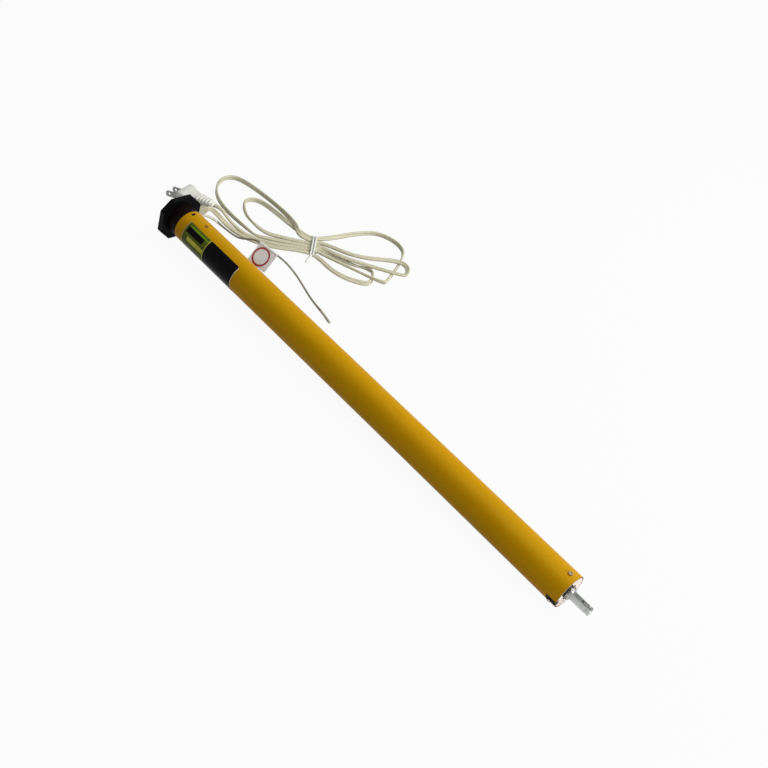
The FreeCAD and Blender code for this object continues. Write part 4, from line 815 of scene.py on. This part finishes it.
# Tag on the antenna
# Glossy label stock, folded round the wire and pressed together. It hangs to the table by its own
# curl, and a plain red ring is printed on it.
TAG_MIDDLE = lying(74.25, 61.2, 17.9)
WIRE_BEFORE = lying(57.5, 60.2, 17.0)
WIRE_AFTER = lying(91.0, 62.2, 18.8)
TAG_ALONG = (WIRE_AFTER - WIRE_BEFORE).normalized()
TAG_FALL = Vector((0.068, -0.677, -0.732))
TAG_DOWN = (TAG_FALL - TAG_ALONG * TAG_FALL.dot(TAG_ALONG)).normalized()
TAG_FACE = TAG_ALONG.cross(TAG_DOWN)
TAG_SIDE = 23.5
TAG_NEAR = -11.75
TAG_FAR = 15.8
RING_CENTRE = 12.0
RING_RADIUS = 9.9
RING_WIDTH = 2.2
TAG_HALF = 0.18
PRINT_LIFT = 0.24
FOLD_RADIUS = 0.0014
CURL_SWING = 0.5
CURL_LEVEL = 0.25
CURL_REACH = 1.2
TAG_STEPS = 20
FOLD_POINTS = 14
PRINT_POINTS = 48
TAG_SHARP_FROM = 50.0


def tag_place(along, down, off):
    """A place on the tag, in millimetres along and down from the wire; it curls a little."""
    curl = CURL_SWING * math.sin(math.pi * (along / TAG_SIDE + 0.5)) - CURL_LEVEL
    bow = off + curl * down / TAG_SIDE * CURL_REACH
    return TAG_MIDDLE + (TAG_ALONG * along + TAG_DOWN * down + TAG_FACE * bow) / 1000


tag = bmesh.new()
places_along = [TAG_NEAR + (TAG_FAR - TAG_NEAR) * i / TAG_STEPS for i in range(TAG_STEPS + 1)]
places_down = [TAG_SIDE * j / TAG_STEPS for j in range(TAG_STEPS + 1)]
front, back = [], []
for layer, off in ((front, TAG_HALF), (back, -TAG_HALF)):
    for along in places_along:
        layer.append([tag.verts.new(tag_place(along, down, off)) for down in places_down])
for first, second in zip(front, front[1:]):
    join_rows(tag, first, second)
back_columns = list(zip(*back))
for first, second in zip(back_columns, back_columns[1:]):
    join_rows(tag, first, second)
for i in range(TAG_STEPS):
    n = i + 1
    tag.faces.new((front[i][-1], back[i][-1], back[n][-1], front[n][-1]))
    tag.faces.new((front[i][0], front[n][0], back[n][0], back[i][0]))
    tag.faces.new((front[0][i], back[0][i], back[0][n], front[0][n]))
    tag.faces.new((front[-1][i], front[-1][n], back[-1][n], back[-1][i]))
fold = []
for along in places_along:
    centre = TAG_MIDDLE + TAG_ALONG * along / 1000
    ring = []
    for k in range(FOLD_POINTS):
        a = 2 * math.pi * k / FOLD_POINTS
        ring.append(tag.verts.new(centre + (TAG_DOWN * math.cos(a) + TAG_FACE * math.sin(a)) * FOLD_RADIUS))
    fold.append(ring)
for first, second in zip(fold, fold[1:]):
    join_rows(tag, first, second, closed=True)
tag.faces.new(fold[0][::-1])
tag.faces.new(fold[-1])
for lift in (PRINT_LIFT, -PRINT_LIFT):
    inner, outer = [], []
    for k in range(PRINT_POINTS):
        a = 2 * math.pi * k / PRINT_POINTS
        for ring, radius in ((inner, RING_RADIUS - RING_WIDTH / 2), (outer, RING_RADIUS + RING_WIDTH / 2)):
            place = tag_place(radius * math.cos(a), RING_CENTRE + radius * math.sin(a), lift)
            ring.append(tag.verts.new(place))
    for face in join_rows(tag, inner, outer, closed=True):
        face.material_index = 1
tag_mesh = made_mesh("folded_tag", tag)
smooth(tag_mesh, TAG_SHARP_FROM)
folded_tag = put("folded_tag", tag_mesh)
tag_stock = Finish("glossy label stock", (0.97, 0.90, 0.89), 0.18, coat=1.0, specular=0.9)
tag_stock.mottle(scale=90.0, detail=2.0, low=0.4, high=0.7, most=0.5, color=(0.97, 0.93, 0.92))
tag_stock.sink(weight=0.7, radius=(1.0, 0.9, 0.9))
tag_stock.shader.inputs["Subsurface Scale"].default_value = 0.003
tag_stock.grain(scale=160.0, detail=2.0, depth=0.0003, strength=0.2)
tag_ink = Finish("red ring print", (0.46, 0.022, 0.018), 0.25, coat=0.3)
tag_ink.mottle(scale=700.0, detail=3.0, low=0.55, high=0.8, most=0.3, color=(0.60, 0.10, 0.08))
tag_mesh.materials.append(tag_stock.material)
tag_mesh.materials.append(tag_ink.material)
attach(folded_tag, "motor")
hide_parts("antenna_tag")
